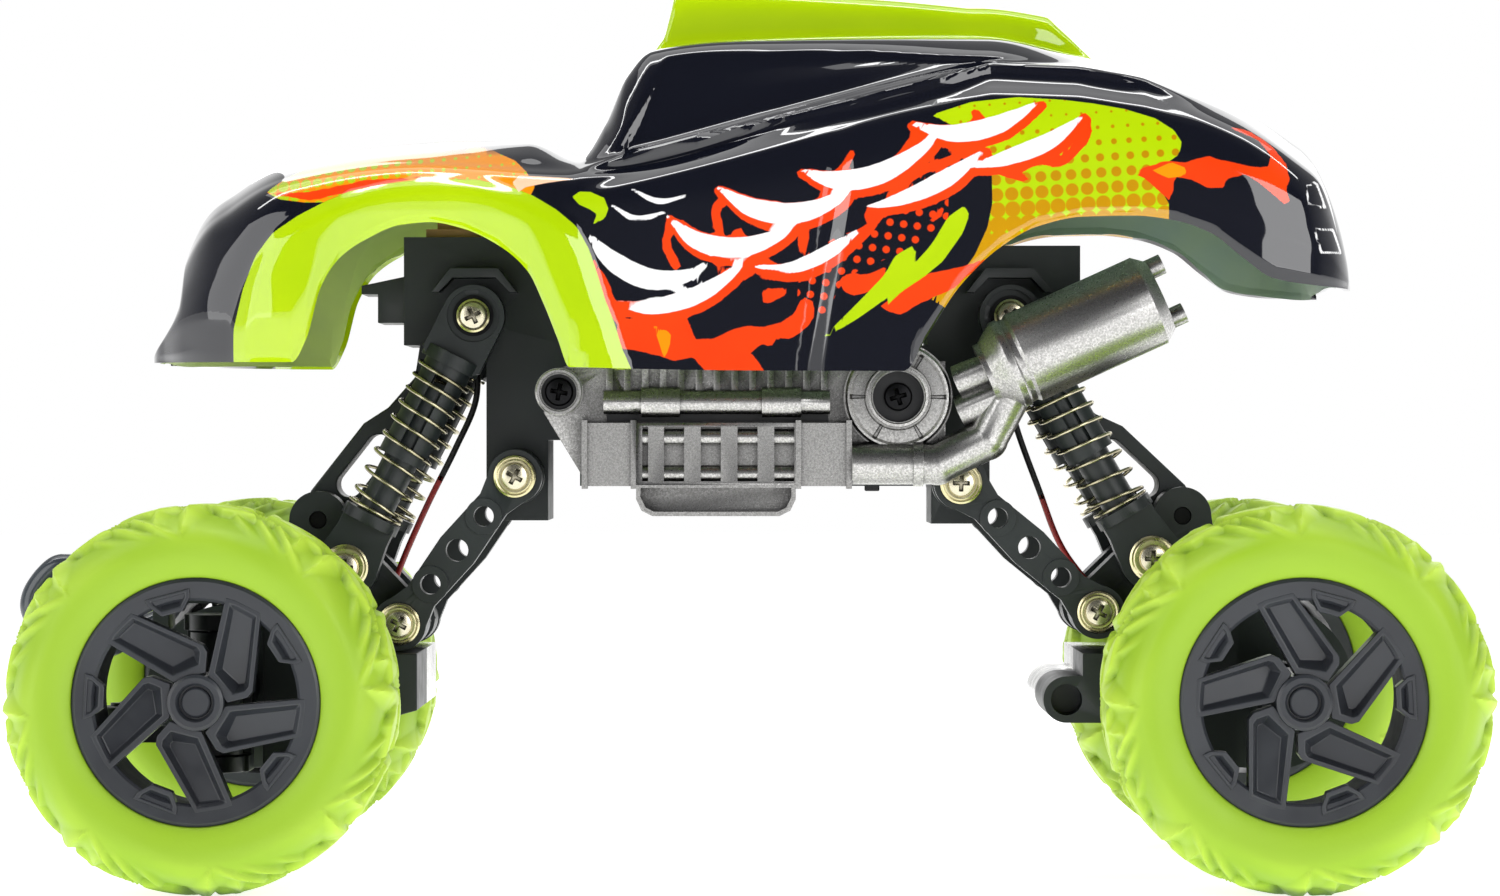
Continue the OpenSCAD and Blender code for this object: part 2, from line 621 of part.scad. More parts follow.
// Spur gear in the x-z plane, with plain tapered teeth; a tooth points along +u when phase is 0
module gear2d(teeth, phase) {
  pitch_r = gear_module * teeth / 2;
  root = pitch_r - 1.15 * gear_module;
  tip = pitch_r + 0.8 * gear_module;
  step = 360 / teeth;
  polygon([for (i = [0 : teeth - 1]) for (k = [[-0.31, root], [-0.12, tip], [0.12, tip], [0.31, root]])
    let (a = (i + k[0]) * step + phase) [k[1] * cos(a), k[1] * sin(a)]]);
}

module motor() {
  color([0.6, 0.6, 0.6]) difference() {
    union() {
      bar_y([gear_distance, 0], 9.9, 5.5, 25.6);
      bar_y([gear_distance, 0], 3, 4.2, 6);
    }
    bar_y([gear_distance, 0], 1.06, 3, 21);
  }
}

module pinion() {
  color([0.85, 0.75, 0.35]) union() {
    plate_y(-2.8, 2.8) translate([gear_distance, 0]) gear2d(pinion_teeth, 180 / pinion_teeth);
    bar_y([gear_distance, 0], 1, 2, 20);
  }
}

// Drive gear with its shaft, which reaches from y = -half to y = half
module drive_gear(half) {
  color([0.9, 0.9, 0.88]) union() {
    plate_y(-2.6, 2.6) gear2d(gear_teeth, 0);
    bar_y([0, 0], 4.5, -3.4, 3.4);
    bar_y([0, 0], shaft_r, -half, half);
  }
}

module front_motor() at_mid() { axle_frame(0) motor(); }
module rear_motor() at_mid() { axle_frame(1) motor(); }
module front_pinion() at_mid() { axle_frame(0) pinion(); }
module rear_pinion() at_mid() { axle_frame(1) pinion(); }
module front_drive_gear() at_mid() { axle_frame(0) drive_gear(29.4); }
module rear_drive_gear() at_mid() { axle_frame(1) drive_gear(70); }

// ---- steering ------------------------------------------------------------------------------

module steering_servo() at_mid() {
  color(dark) axle_frame(0) union() {
    box([-12, -10, 15.7], [8.6, 10, 27]);
    box([-12, -13, 20], [8.6, 13, 22]);
    // feet on the axle case, and the tow hook's root
    box([-15, -6, 10], [-12, 6, 24]);
    tow_hook();
  }
}

module knuckle() {
  color(dark) axle_frame(0) difference() {
    union() {
      translate([0, -kingpin_y, -11.2]) cylinder(r = 4.8, h = 22.4);
      for (z = [-14, 11]) translate([0, -kingpin_y, z]) cylinder(r = pin_r, h = 3);
      bar_y([0, 0], 4.8, -41, -kingpin_y);
      // steering arm, ahead of the axle
      box([tie_rod_u, -kingpin_y - 2.4, -9], [0, -kingpin_y + 2.4, -6]);
      translate([tie_rod_u, -kingpin_y, -9]) cylinder(r = 3.2, h = 3);
      translate([tie_rod_u, -kingpin_y, -6.2]) cylinder(r = 1.5, h = 4.4);
    }
    bar_y([0, 0], shaft_r + fit, -50, -20);
  }
}

module knuckle_left() at_mid() { side(-1) knuckle(); }
module knuckle_right() at_mid() { side(1) knuckle(); }

// The tie rod's eyes are slots, because the arms swing in an arc while the rod slides straight
module tie_rod() at_mid() {
  color(dark) axle_frame(0) difference() {
    union() {
      box([tie_rod_u - 2, -kingpin_y, -5.6], [tie_rod_u + 2, kingpin_y, -2.4]);
      both_sides() translate([tie_rod_u + 0.6, -kingpin_y, -5.6]) cylinder(r = 4.4, h = 3.2);
    }
    both_sides() {
      translate([tie_rod_u, -kingpin_y, -7]) cylinder(r = 1.9, h = 6);
      translate([tie_rod_u + 1.2, -kingpin_y, -7]) cylinder(r = 1.9, h = 6);
      box([tie_rod_u, -kingpin_y - 1.9, -7], [tie_rod_u + 1.2, -kingpin_y + 1.9, -1]);
    }
  }
}

module stub_axle() {
  color(nickel) axle_frame(0) bar_y([0, 0], shaft_r, -70, -31.2);
}

module stub_axle_left() at_mid() { side(-1) stub_axle(); }
module stub_axle_right() at_mid() { side(1) stub_axle(); }

// ---- wheels --------------------------------------------------------------------------------

// Wheel frame: x right and y up as seen from outside the wheel, z outwards from its middle.
// The same moulding fits both sides, so the right wheels are turned and not mirrored.
module wheel_frame(e, s) {
  translate([HUB[e][0], s * track / 2, hub_z])
    rotate([90, 0, s < 0 ? 0 : 180]) rotate([0, 0, 42 * e]) children();
}

module tyre(e, s) {
  half = tyre_w / 2;
  carcass = wheel_r - 1.7;
  color(lime) wheel_frame(e, s) union() {
    rotate_extrude($fn = 72) polygon([
      [rim_r - 1, 5 - half], [rim_r - 1, 4 - half], [rim_r + 0.06, 3.1 - half], [rim_r + 0.06, 1.4 - half],
      [rim_r + 4, -half], [carcass - 4.4, 0.8 - half], [carcass - 1.4, 3.6 - half], [carcass, 8 - half],
      [carcass, half - 8], [carcass - 1.4, half - 3.6], [carcass - 4.4, half - 0.8], [rim_r + 4, half],
      [rim_r + 0.06, half - 1.4], [rim_r + 0.06, half - 3.1], [rim_r - 1, half - 4], [rim_r - 1, half - 5],
      [carcass - 5, half - 5], [carcass - 5, 5 - half]]);
    for (i = [0 : lug_pairs - 1], k = [-1, 1])
      rotate([0, 0, (i + (k + 1) / 4) * 360 / lug_pairs]) translate([0, 0, k > 0 ? 1 : -half + 2.5])
        linear_extrude(half - 3.5) polygon([
          [carcass - 2, -3], [carcass + 0.1, -3.6], [wheel_r - 0.03, 0.2], [wheel_r - 0.03, 1.6],
          [carcass - 2, 2.6]]);
  }
}

module paddle2d() {
  polygon([[2.6, -0.4], [6, -0.8], [19.2, 0.6], [19.2, -0.6], [18.3, -6.2], [4.6, -9], [1.6, -5.2]]);
}

module rim(e, s) {
  color(slate) wheel_frame(e, s) difference() {
    union() {
      rotate_extrude($fn = 72) polygon([
        [rim_r - 4, 13.2], [rim_r - 4, 15], [rim_r - 3.4, 15.4], [rim_r, 15.4], [rim_r, 14],
        [rim_r - 1.1, 13.2], [rim_r - 1.1, -13.2], [rim_r, -14], [rim_r, -15.4], [rim_r - 2.6, -15.4],
        [rim_r - 2.6, 13.2]]);
      translate([0, 0, -16]) cylinder(r = 5, h = 31);
      translate([0, 0, 12.4]) cylinder(r = 5.1, h = 3.8);
      for (i = [0 : 4]) rotate([0, 0, 72 * i]) {
        translate([0, 0, 10.6]) linear_extrude(4.4) paddle2d();
        rotate([0, 0, 32.5]) translate([16.6, -2.6, 12]) cube([2.2, 5.2, 3.2]);
      }
    }
    // recessed face of each spoke
    for (i = [0 : 4]) rotate([0, 0, 72 * i]) translate([0, 0, 14])
      linear_extrude(3) polygon([[7, -2.3], [17.7, -1.1], [17.1, -4.9], [5.4, -7.4]]);
    translate([0, 0, -17]) cylinder(r = shaft_r + fit, h = 29.4);
    // groove round the middle of the hub cap
    translate([0, 0, 15.6]) difference() {
      cylinder(r = 3.1, h = 2);
      translate([0, 0, -1]) cylinder(r = 2.6, h = 4);
    }
  }
}

module tyre_front_left() at_mid() { tyre(0, -1); }
module tyre_front_right() at_mid() { tyre(0, 1); }
module tyre_rear_left() at_mid() { tyre(1, -1); }
module tyre_rear_right() at_mid() { tyre(1, 1); }
module rim_front_left() at_mid() { rim(0, -1); }
module rim_front_right() at_mid() { rim(0, 1); }
module rim_rear_left() at_mid() { rim(1, -1); }
module rim_rear_right() at_mid() { rim(1, 1); }

// ---- shocks --------------------------------------------------------------------------------

tube_r = 4.6;
rod_r = 3.33;
head_d = 10.4;
seat_back = 10.6;

// Shock frame: x runs from the top eye to the lower eye, on the left side
module shock_frame(e) {
  a = SHOCK_TOP[e];
  b = SHOCK_EYE[e];
  translate([a[0], -shock_y, a[1]]) rotate([0, -atan2(b[1] - a[1], b[0] - a[0]), 0]) children();
}

function shock_len(e) = norm(SHOCK_EYE[e] - SHOCK_TOP[e]);

module shock_cylinder(e) {
  color(dark) shock_frame(e) difference() {
    union() {
      bar_y([0, 0], 5.8, -3, 3);
      plate_y(-3, 3) polygon([[0, -5.8], [head_d - 1.2, -5.8], [head_d, -4.6], [head_d, 4.6],
                              [head_d - 1.2, 5.8], [0, 5.8]]);
      bar_x(4.5, head_d, 0, 0, 5.7);
      bar_x(head_d, 30, 0, 0, tube_r);
    }
    bar_y([0, 0], pin_r + fit, -4, 4);
    bar_y([0, 0], 4.9, -4, -2.4);
    bar_x(8, 31, 0, 0, rod_r + 0.07);
    // windows
    for (a = [0, 90, 180, 270]) rotate([a, 0, 0]) box([12.5, -1.4, 3], [27.5, 1.4, 6]);
    box([-8, -7, -7], [8, -3, 7]);
    box([-8, 3, -7], [8, 7, 7]);
  }
}

module shock_rod(e) {
  l = shock_len(e);
  color(dark) shock_frame(e) difference() {
    union() {
      bar_x(15, l - seat_back, 0, 0, rod_r);
      bar_x(l - seat_back - 0.5, l - seat_back + 1.6, 0, 0, 5.6);
      plate_y(-3, 3) union() {
        translate([l, 0]) circle(r = 6);
        polygon([[l - seat_back + 0.5, -5], [l - 7, -5], [l, -6], [l, 6], [l - 7, 5],
                 [l - seat_back + 0.5, 5]]);
      }
    }
    // the lower eye is loose on its screw; a washer hides the gap
    bar_y([l, 0], pin_r + 0.6, -4, 4);
  }
}

// Coil spring as a swept wire; its last turn lies flat on the seat
module spring(e) {
  l = shock_len(e);
  start = head_d + wire_r + 0.05;
  stop = l - seat_back - 0.5 - wire_r - 0.05;
  coil_r = tube_r + wire_r + 0.25;
  steps = 12;
  sides = 5;
  count = spring_turns * steps;
  // closer turns at the top, and the last turn flat on the seat
  climb = [for (i = [0 : count]) let (t = min(1, i / (count - steps)))
    start + (stop - start - 2.2 * wire_r) * t * (0.7 + 0.3 * t)
      + 2.2 * wire_r * max(0, (i - count + steps) / steps)];
  points = [for (i = [0 : count]) for (k = [0 : sides - 1])
    let (a = 360 * i / steps, b = 360 * k / sides, r = coil_r + wire_r * cos(b))
    [climb[i] + wire_r * sin(b), r * cos(a), r * sin(a)]];
  wall = [for (i = [0 : count - 1]) for (k = [0 : sides - 1])
    let (p = i * sides + k, q = i * sides + (k + 1) % sides) [p, q, q + sides, p + sides]];
  tris = concat([for (f = wall) [f[0], f[1], f[2]]], [for (f = wall) [f[0], f[2], f[3]]]);
  ends = [[for (k = [sides - 1 : -1 : 0]) k], [for (k = [0 : sides - 1]) count * sides + k]];
  color(nickel) shock_frame(e) polyhedron(points, concat(tris, ends));
}

module shock_cylinder_front_left() at_mid() { side(-1) shock_cylinder(0); }
module shock_cylinder_front_right() at_mid() { side(1) shock_cylinder(0); }
module shock_cylinder_rear_left() at_mid() { side(-1) shock_cylinder(1); }
module shock_cylinder_rear_right() at_mid() { side(1) shock_cylinder(1); }
module shock_rod_front_left() at_mid() { side(-1) shock_rod(0); }
module shock_rod_front_right() at_mid() { side(1) shock_rod(0); }
module shock_rod_rear_left() at_mid() { side(-1) shock_rod(1); }
module shock_rod_rear_right() at_mid() { side(1) shock_rod(1); }
module spring_front_left() at_mid() { side(-1) spring(0); }
module spring_front_right() at_mid() { side(1) spring(0); }
module spring_rear_left() at_mid() { side(-1) spring(1); }
module spring_rear_right() at_mid() { side(1) spring(1); }

// ---- motor leads ---------------------------------------------------------------------------

lead_r = 1.2;

module lead(path) {
  color([0.05, 0.05, 0.05]) union() {
    for (i = [0 : len(path) - 2]) hull() {
      translate(path[i]) sphere(r = lead_r, $fn = 16);
      translate(path[i + 1]) sphere(r = lead_r, $fn = 16);
    }
  }
}

// From under the tower's top box down between the ears of the link mount
module front_motor_lead() at_mid() {
  lead([[-52, 0, 98], [-52.2, 0, 89], [-56, 0, 80], [-61, 0, 70], [-65.5, 0, 60], [-69, 0, 50.9]]);
}

module rear_motor_lead() at_mid() {
  lead([[49.6, 0, 98], [49.9, 0, 87], [55.2, 0, 71.5], [59.4, 0, 61], [66, 0, 52.2]]);
}

// ---- nodes ---------------------------------------------------------------------------------

body_shell();
chassis_tub();
front_tower();
rear_tower();
battery_pack();
battery_door();
circuit_board();
power_switch();
side_trim_left();
side_trim_right();
exhausts();
chassis_screws();
front_upper_arm();
rear_upper_arm();
front_link_left();
front_link_right();
rear_link_left();
rear_link_right();
front_axle_case_left();
front_axle_case_right();
front_link_mount();
front_axle_screws();
rear_axle_case_left();
rear_axle_case_right();
rear_link_mount();
rear_axle_screws();
front_motor();
front_pinion();
front_drive_gear();
rear_motor();
rear_pinion();
rear_drive_gear();
steering_servo();
tie_rod();
knuckle_left();
knuckle_right();
stub_axle_left();
stub_axle_right();
tyre_front_left();
tyre_front_right();
tyre_rear_left();
tyre_rear_right();
rim_front_left();
rim_front_right();
rim_rear_left();
rim_rear_right();
shock_cylinder_front_left();
shock_cylinder_front_right();
shock_cylinder_rear_left();
shock_cylinder_rear_right();
shock_rod_front_left();
shock_rod_front_right();
shock_rod_rear_left();
shock_rod_rear_right();
spring_front_left();
spring_front_right();
spring_rear_left();
spring_rear_right();
front_motor_lead();
rear_motor_lead();
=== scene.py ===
"""Toy rock-crawler truck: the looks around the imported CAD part. Lengths are in millimetres."""
import json
import math
from contextlib import contextmanager

import bmesh
import bpy
import numpy as np
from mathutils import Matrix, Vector

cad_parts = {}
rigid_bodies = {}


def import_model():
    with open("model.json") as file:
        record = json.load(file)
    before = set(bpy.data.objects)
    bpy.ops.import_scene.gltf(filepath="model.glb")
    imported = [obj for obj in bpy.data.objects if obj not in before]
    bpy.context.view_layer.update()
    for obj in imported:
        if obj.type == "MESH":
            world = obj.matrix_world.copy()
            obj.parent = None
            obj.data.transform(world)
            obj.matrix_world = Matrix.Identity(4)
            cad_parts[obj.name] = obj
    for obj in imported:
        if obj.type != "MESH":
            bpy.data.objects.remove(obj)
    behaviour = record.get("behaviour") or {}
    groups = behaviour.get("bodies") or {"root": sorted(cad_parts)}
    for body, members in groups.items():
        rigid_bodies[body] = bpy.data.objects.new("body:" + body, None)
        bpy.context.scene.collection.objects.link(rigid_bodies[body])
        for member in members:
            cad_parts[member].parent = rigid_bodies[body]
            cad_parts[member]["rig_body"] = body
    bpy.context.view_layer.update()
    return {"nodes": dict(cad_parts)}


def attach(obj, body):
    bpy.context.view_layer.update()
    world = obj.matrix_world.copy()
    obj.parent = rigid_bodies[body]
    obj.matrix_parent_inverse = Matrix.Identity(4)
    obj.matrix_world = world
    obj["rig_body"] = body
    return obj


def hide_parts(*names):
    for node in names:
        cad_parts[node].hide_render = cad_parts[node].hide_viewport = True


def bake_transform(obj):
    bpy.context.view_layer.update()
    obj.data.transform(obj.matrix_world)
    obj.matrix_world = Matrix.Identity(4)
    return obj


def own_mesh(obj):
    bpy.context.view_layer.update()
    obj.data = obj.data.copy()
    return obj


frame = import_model()
NODES = frame["nodes"]

MM = 0.001
MID_X = 2.95  # midway between the axles
HUB_Z = 35.0
HALF_BASE = 98.0
HALF_TRACK = 58.0
SHOCK_Y = 20.0
SHELL_T = 1.1
SIDES = ((-1, "left"), (1, "right"))
ENDS = ("front", "rear")


# ---- node and material helpers ---------------------------------------------------------------

def srgb(r, g, b):
    """An 8-bit screen colour as a linear RGBA value."""
    out = []
    for c in (r, g, b):
        c = c / 255
        out.append(c / 12.92 if c < 0.04045 else ((c + 0.055) / 1.055) ** 2.4)
    return (*out, 1.0)


class Tree:
    """A node tree, with short ways to add nodes."""

    def __init__(self, tree, coords):
        self.tree = tree
        self.coords = tree.nodes.new("ShaderNodeTexCoord").outputs[coords]

    def link(self, value, socket):
        if isinstance(value, bpy.types.NodeSocket):
            self.tree.links.new(value, socket)
        else:
            socket.default_value = value

    def math(self, kind, a, b=0.0, c=0.0, clamp=False):
        n = self.tree.nodes.new("ShaderNodeMath")
        n.operation, n.use_clamp = kind, clamp
        for value, socket in zip((a, b, c), n.inputs):
            self.link(value, socket)
        return n.outputs[0]

    def noise(self, scale, detail=3.0, rough=0.55, distortion=0.0):
        n = self.tree.nodes.new("ShaderNodeTexNoise")
        self.link(self.coords, n.inputs["Vector"])
        values = {"Scale": scale, "Detail": detail, "Roughness": rough, "Distortion": distortion}
        for key, v in values.items():
            n.inputs[key].default_value = v
        return n.outputs["Fac"]

    def range(self, value, lo, hi, to_lo, to_hi):
        n = self.tree.nodes.new("ShaderNodeMapRange")
        self.link(value, n.inputs["Value"])
        for key, v in zip(("From Min", "From Max", "To Min", "To Max"), (lo, hi, to_lo, to_hi)):
            n.inputs[key].default_value = v
        return n.outputs["Result"]

    def mix(self, factor, a, b):
        n = self.tree.nodes.new("ShaderNodeMix")
        n.data_type = "RGBA"
        self.link(factor, n.inputs["Factor"])
        # a Mix node has a socket A, B and Result for each kind of data: these are the colour ones
        self.link(a, n.inputs[6])
        self.link(b, n.inputs[7])
        return n.outputs[2]

    def attribute(self, name):
        n = self.tree.nodes.new("ShaderNodeAttribute")
        n.attribute_name = name
        return n.outputs["Fac"]

    def axis(self, index):
        n = self.tree.nodes.new("ShaderNodeSeparateXYZ")
        self.link(self.coords, n.inputs[0])
        return n.outputs[index]


class Nodes(Tree):
    """A material and its Principled BSDF."""

    def __init__(self, name):
        self.mat = bpy.data.materials.new(name)
        self.mat.use_nodes = True
        self.bsdf = self.mat.node_tree.nodes["Principled BSDF"]
        super().__init__(self.mat.node_tree, "Object")

    def set(self, **values):
        """Links or sets sockets of the shader, with _ for each space in their names."""
        for key, value in values.items():
            self.link(value, self.bsdf.inputs[key.replace("_", " ")])

    def bump(self, height, strength, distance):
        n = self.tree.nodes.new("ShaderNodeBump")
        n.inputs["Strength"].default_value = strength
        n.inputs["Distance"].default_value = distance
        self.link(height, n.inputs["Height"])
        self.set(Normal=n.outputs["Normal"])

    def crevice_shade(self, distance, dark):
        """Painted shade: 1 in the open, down to dark in narrow gaps and recesses."""
        n = self.tree.nodes.new("ShaderNodeAmbientOcclusion")
        n.samples = 8
        n.inputs["Distance"].default_value = distance * MM
        return self.range(n.outputs["AO"], 0.25, 0.95, dark, 1)

    def shaded(self, colour, distance, dark):
        """The colour with painted shade, darker in gaps and recesses."""
        return self.mix(self.crevice_shade(distance, dark), (0, 0, 0, 1), colour)


def moulded(name, low, high, rough, metallic=0.0, grain=900.0, depth=0.00003, strength=0.5,
            patch=60.0, specular=0.5):
    """A moulded or plated surface: two close tones in soft patches, uneven gloss and a fine grain."""
    n = Nodes(name)
    n.set(Base_Color=n.mix(n.range(n.noise(patch), 0.35, 0.65, 0, 1), srgb(*low), srgb(*high)))
    n.set(Roughness=n.range(n.noise(patch * 4, 4), 0.3, 0.7, rough[0], rough[1]))
    n.set(Metallic=metallic, Specular_IOR_Level=specular)
    n.bump(n.noise(grain, 2), strength, depth)
    return n.mat


def silver_paint():
    """Silver-painted plastic with fine metal flakes, with painted shade in its recesses."""
    n = Nodes("silver_paint")
    flakes = n.range(n.noise(2600, 1), 0.36, 0.64, 0, 1)
    tone = n.mix(flakes, srgb(160, 159, 157), srgb(202, 201, 199))
    tone = n.mix(n.range(n.noise(50), 0.3, 0.7, 0, 0.3), tone, srgb(176, 175, 173))
    # painted shade darkens the silver in the recesses
    n.set(Base_Color=n.shaded(tone, 4.5, 0.25))
    n.set(Roughness=n.range(flakes, 0, 1, 0.34, 0.27))
    n.set(Metallic=1.0)
    n.bump(flakes, 0.08, 0.00002)
    return n.mat


def rubber():
    """Soft lime rubber, with a painted highlight on its raised relief and painted shade in its creases."""
    n = Nodes("lime_rubber")
    height = n.attribute("height")
    # painted highlight: lighter on the raised relief, darker in the low parts
    tone = n.mix(n.range(height, -0.2, 1.3, 0, 1), srgb(148, 186, 34), srgb(190, 222, 68))
    tone = n.mix(n.range(n.noise(35), 0.35, 0.7, 0, 0.4), tone, srgb(150, 186, 42))
    # painted shade: dark olive in the creases
    n.set(Base_Color=n.mix(n.crevice_shade(2.2, 0), srgb(84, 116, 14), tone))
    n.set(Roughness=n.range(n.noise(120, 4), 0.3, 0.7, 0.42, 0.56))
    n.set(Specular_IOR_Level=0.45)
    n.bump(n.noise(1300, 2), 0.35, 0.00005)
    return n.mat


def screw_metal():
    """Nickel and dark-plated steel: the attribute dark picks the plating at each point."""
    n = Nodes("screw_metal")
    nickel = n.mix(n.noise(700, 3), srgb(196, 188, 160), srgb(226, 220, 198))
    black = n.mix(n.noise(500, 3), srgb(16, 16, 17), srgb(34, 34, 36))
    dark = n.attribute("dark")
    # painted shade darkens the cross recesses and the gaps round the heads
    n.set(Base_Color=n.shaded(n.mix(dark, nickel, black), 0.8, 0.1))
    n.set(Roughness=n.range(dark, 0, 1, 0.24, 0.45))
    n.set(Metallic=0.9)
    n.bump(n.noise(1500, 2), 0.3, 0.00002)
    return n.mat


def washer_metal():
    """Pale brass washers under the screw heads."""
    n = Nodes("washer_metal")
    tone = n.mix(n.noise(300, 3), srgb(206, 196, 150), srgb(232, 224, 186))
    # painted shade darkens the grooves and the gaps by the heads
    n.set(Base_Color=n.shaded(tone, 1.0, 0.25))
    n.set(Roughness=n.range(n.noise(500, 3), 0.3, 0.7, 0.2, 0.34))
    n.set(Metallic=1.0)
    n.bump(n.noise(1500, 2), 0.25, 0.00002)
    return n.mat


PLASTIC = moulded("dark_plastic", (23, 29, 29), (31, 38, 38), (0.36, 0.5), specular=0.45)
# satin black: the power switch, and as painted shade the trim's recess cups and gap sheet
SATIN_BLACK = moulded("black_plastic_and_shade", (14, 15, 17), (24, 25, 28), (0.3, 0.45))
GLOSS_DARK = moulded("tow_hook_plastic", (40, 45, 50), (62, 68, 74), (0.14, 0.24), specular=0.7)
SLATE = moulded("rim_plastic", (38, 40, 45), (47, 50, 55), (0.28, 0.4), depth=0.00002)
SILVER = silver_paint()
CHROME = moulded("chromed_case", (150, 150, 148), (214, 214, 210), (0.12, 0.3), 0.95, grain=260,
                 depth=0.0001, patch=120)
CAN = moulded("motor_can", (150, 150, 150), (190, 190, 188), (0.25, 0.4), 1.0)
STEEL = moulded("shaft_steel", (150, 148, 142), (196, 194, 188), (0.22, 0.36), 1.0, grain=1500)
WIRE = moulded("spring_wire", (150, 142, 116), (214, 206, 176), (0.2, 0.32), 1.0, grain=1800)
BRASS = moulded("pinion_brass", (182, 142, 66), (216, 178, 92), (0.22, 0.36), 1.0)
NYLON = moulded("gear_nylon", (214, 212, 204), (236, 234, 226), (0.38, 0.5))
WRAP = moulded("battery_wrap", (34, 74, 150), (52, 96, 178), (0.2, 0.32))
BOARD = moulded("circuit_board", (128, 92, 48), (172, 128, 70), (0.35, 0.5), grain=500)
CABLE = moulded("lead_sleeve", (16, 16, 17), (30, 30, 32), (0.4, 0.55))
CABLE_RED = moulded("lead_sleeve_red", (140, 18, 16), (172, 28, 24), (0.35, 0.5))
RUBBER = rubber()
SCREW = screw_metal()
WASHER = washer_metal()


# ---- mesh helpers ----------------------------------------------------------------------------

def add_object(name, data):
    obj = bpy.data.objects.new(name, data)
    bpy.context.scene.collection.objects.link(obj)
    return obj


def add_mesh(name, verts, faces, *materials):
    """A new object from points in millimetres."""
    mesh = bpy.data.meshes.new(name)
    mesh.from_pydata((np.asarray(verts, float) * MM).tolist(), [], [tuple(f) for f in faces])
    mesh.update()
    for m in materials:
        mesh.materials.append(m)
    return add_object(name, mesh)


@contextmanager
def edited(obj):
    """The object's mesh as a bmesh, written back afterwards."""
    bm = bmesh.new()
    bm.from_mesh(obj.data)
    yield bm
    bm.to_mesh(obj.data)
    bm.free()


def fix_normals(obj):
    with edited(obj) as bm:
        bmesh.ops.recalc_face_normals(bm, faces=bm.faces)
    return obj


def smooth(obj, angle=32):
    obj.data.shade_smooth()
    obj.data.set_sharp_from_angle(angle=math.radians(angle))
    return obj


def rounded(obj, width, angle=32, segments=2, harden=True):
    """Rounds the sharp edges; with harden, the flat faces keep their flat shading."""
    smooth(obj, angle)
    b = obj.modifiers.new("rounding", "BEVEL")
    b.width = width * MM
    b.segments = segments
    b.limit_method = "ANGLE"
    b.angle_limit = math.radians(angle)
    b.harden_normals = harden
    return obj


def stands_for(obj, *nodes):
    """obj rides on the body of the first node and is shown instead of all of them."""
    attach(obj, NODES[nodes[0]]["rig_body"])
    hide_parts(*nodes)
    return obj


WELD = 0.002 * MM


def softened(node, material, width, extra=None):
    """A copy of the CAD node's shape with welded faces and rounded edges."""
    obj = add_mesh(node + "_soft", [], [], material)
    bm = bmesh.new()
    bm.from_mesh(NODES[node].data)
    bmesh.ops.remove_doubles(bm, verts=bm.verts, dist=WELD)
    bmesh.ops.dissolve_degenerate(bm, edges=bm.edges, dist=WELD / 2)
    bmesh.ops.dissolve_limit(bm, angle_limit=math.radians(0.6), verts=bm.verts, edges=bm.edges)
    bm.to_mesh(obj.data)
    bm.free()
    if extra:
        extra(obj)
    rounded(obj, width)
    return stands_for(obj, node)


def store(obj, name, values):
    """Keeps one number for each point, for the material to read."""
    a = obj.data.attributes.new(name, "FLOAT", "POINT")
    a.data.foreach_set("value", np.asarray(values, np.float32))


def grid_faces(rows, cols, close_rows=False, close_cols=False):
    out = []
    for i in range(rows if close_rows else rows - 1):
        for j in range(cols if close_cols else cols - 1):
            i2, j2 = (i + 1) % rows, (j + 1) % cols
            out.append((i * cols + j, i2 * cols + j, i2 * cols + j2, i * cols + j2))
    return out


def step(x, lo, hi):
    """Goes smoothly from 0 at lo to 1 at hi."""
    t = np.clip((x - lo) / (hi - lo), 0, 1)
    return t * t * (3 - 2 * t)


def swept(path, radius, sides=16):
    """Points and faces of a round tube along a path, with flat end caps."""
    path = np.asarray(path, float)
    tangent = np.gradient(path, axis=0)
    tangent /= np.linalg.norm(tangent, axis=1)[:, None]
    side = np.cross(tangent[0], (0, 1, 0))
    if np.linalg.norm(side) < 1e-6:
        side = np.array((1.0, 0, 0))
    rings, n = [], len(path)
    for i, (p, t) in enumerate(zip(path, tangent)):
        side = side - t * np.dot(side, t)
        side /= np.linalg.norm(side)
        other = np.cross(t, side)
        r = radius[i] if hasattr(radius, "__len__") else radius
        for k in range(sides):
            a = 2 * math.pi * k / sides
            rings.append(p + r * (math.cos(a) * side + math.sin(a) * other))
    faces = grid_faces(n, sides, close_cols=True)
    faces.append(tuple(range(sides - 1, -1, -1)))
    faces.append(tuple((n - 1) * sides + k for k in range(sides)))
    return np.array(rings), faces


def curve_through(points, count):
    """A smooth line through the points (Catmull-Rom), as count points."""
    p = np.asarray(points, float)
    ext = np.vstack([2 * p[0] - p[1], p, 2 * p[-1] - p[-2]])
    t = np.linspace(0, len(p) - 1 - 1e-9, count)
    i = t.astype(int)
    f = (t - i)[:, None]
    a, b, c, d = ext[i], ext[i + 1], ext[i + 2], ext[i + 3]
    return 0.5 * (2 * b + (c - a) * f + (2 * a - 5 * b + 4 * c - d) * f**2 + (3 * b - a - 3 * c + d) * f**3)


# ---- body shell ------------------------------------------------------------------------------
# Rows of (distance behind the middle of the wheelbase, value), as in the CAD part

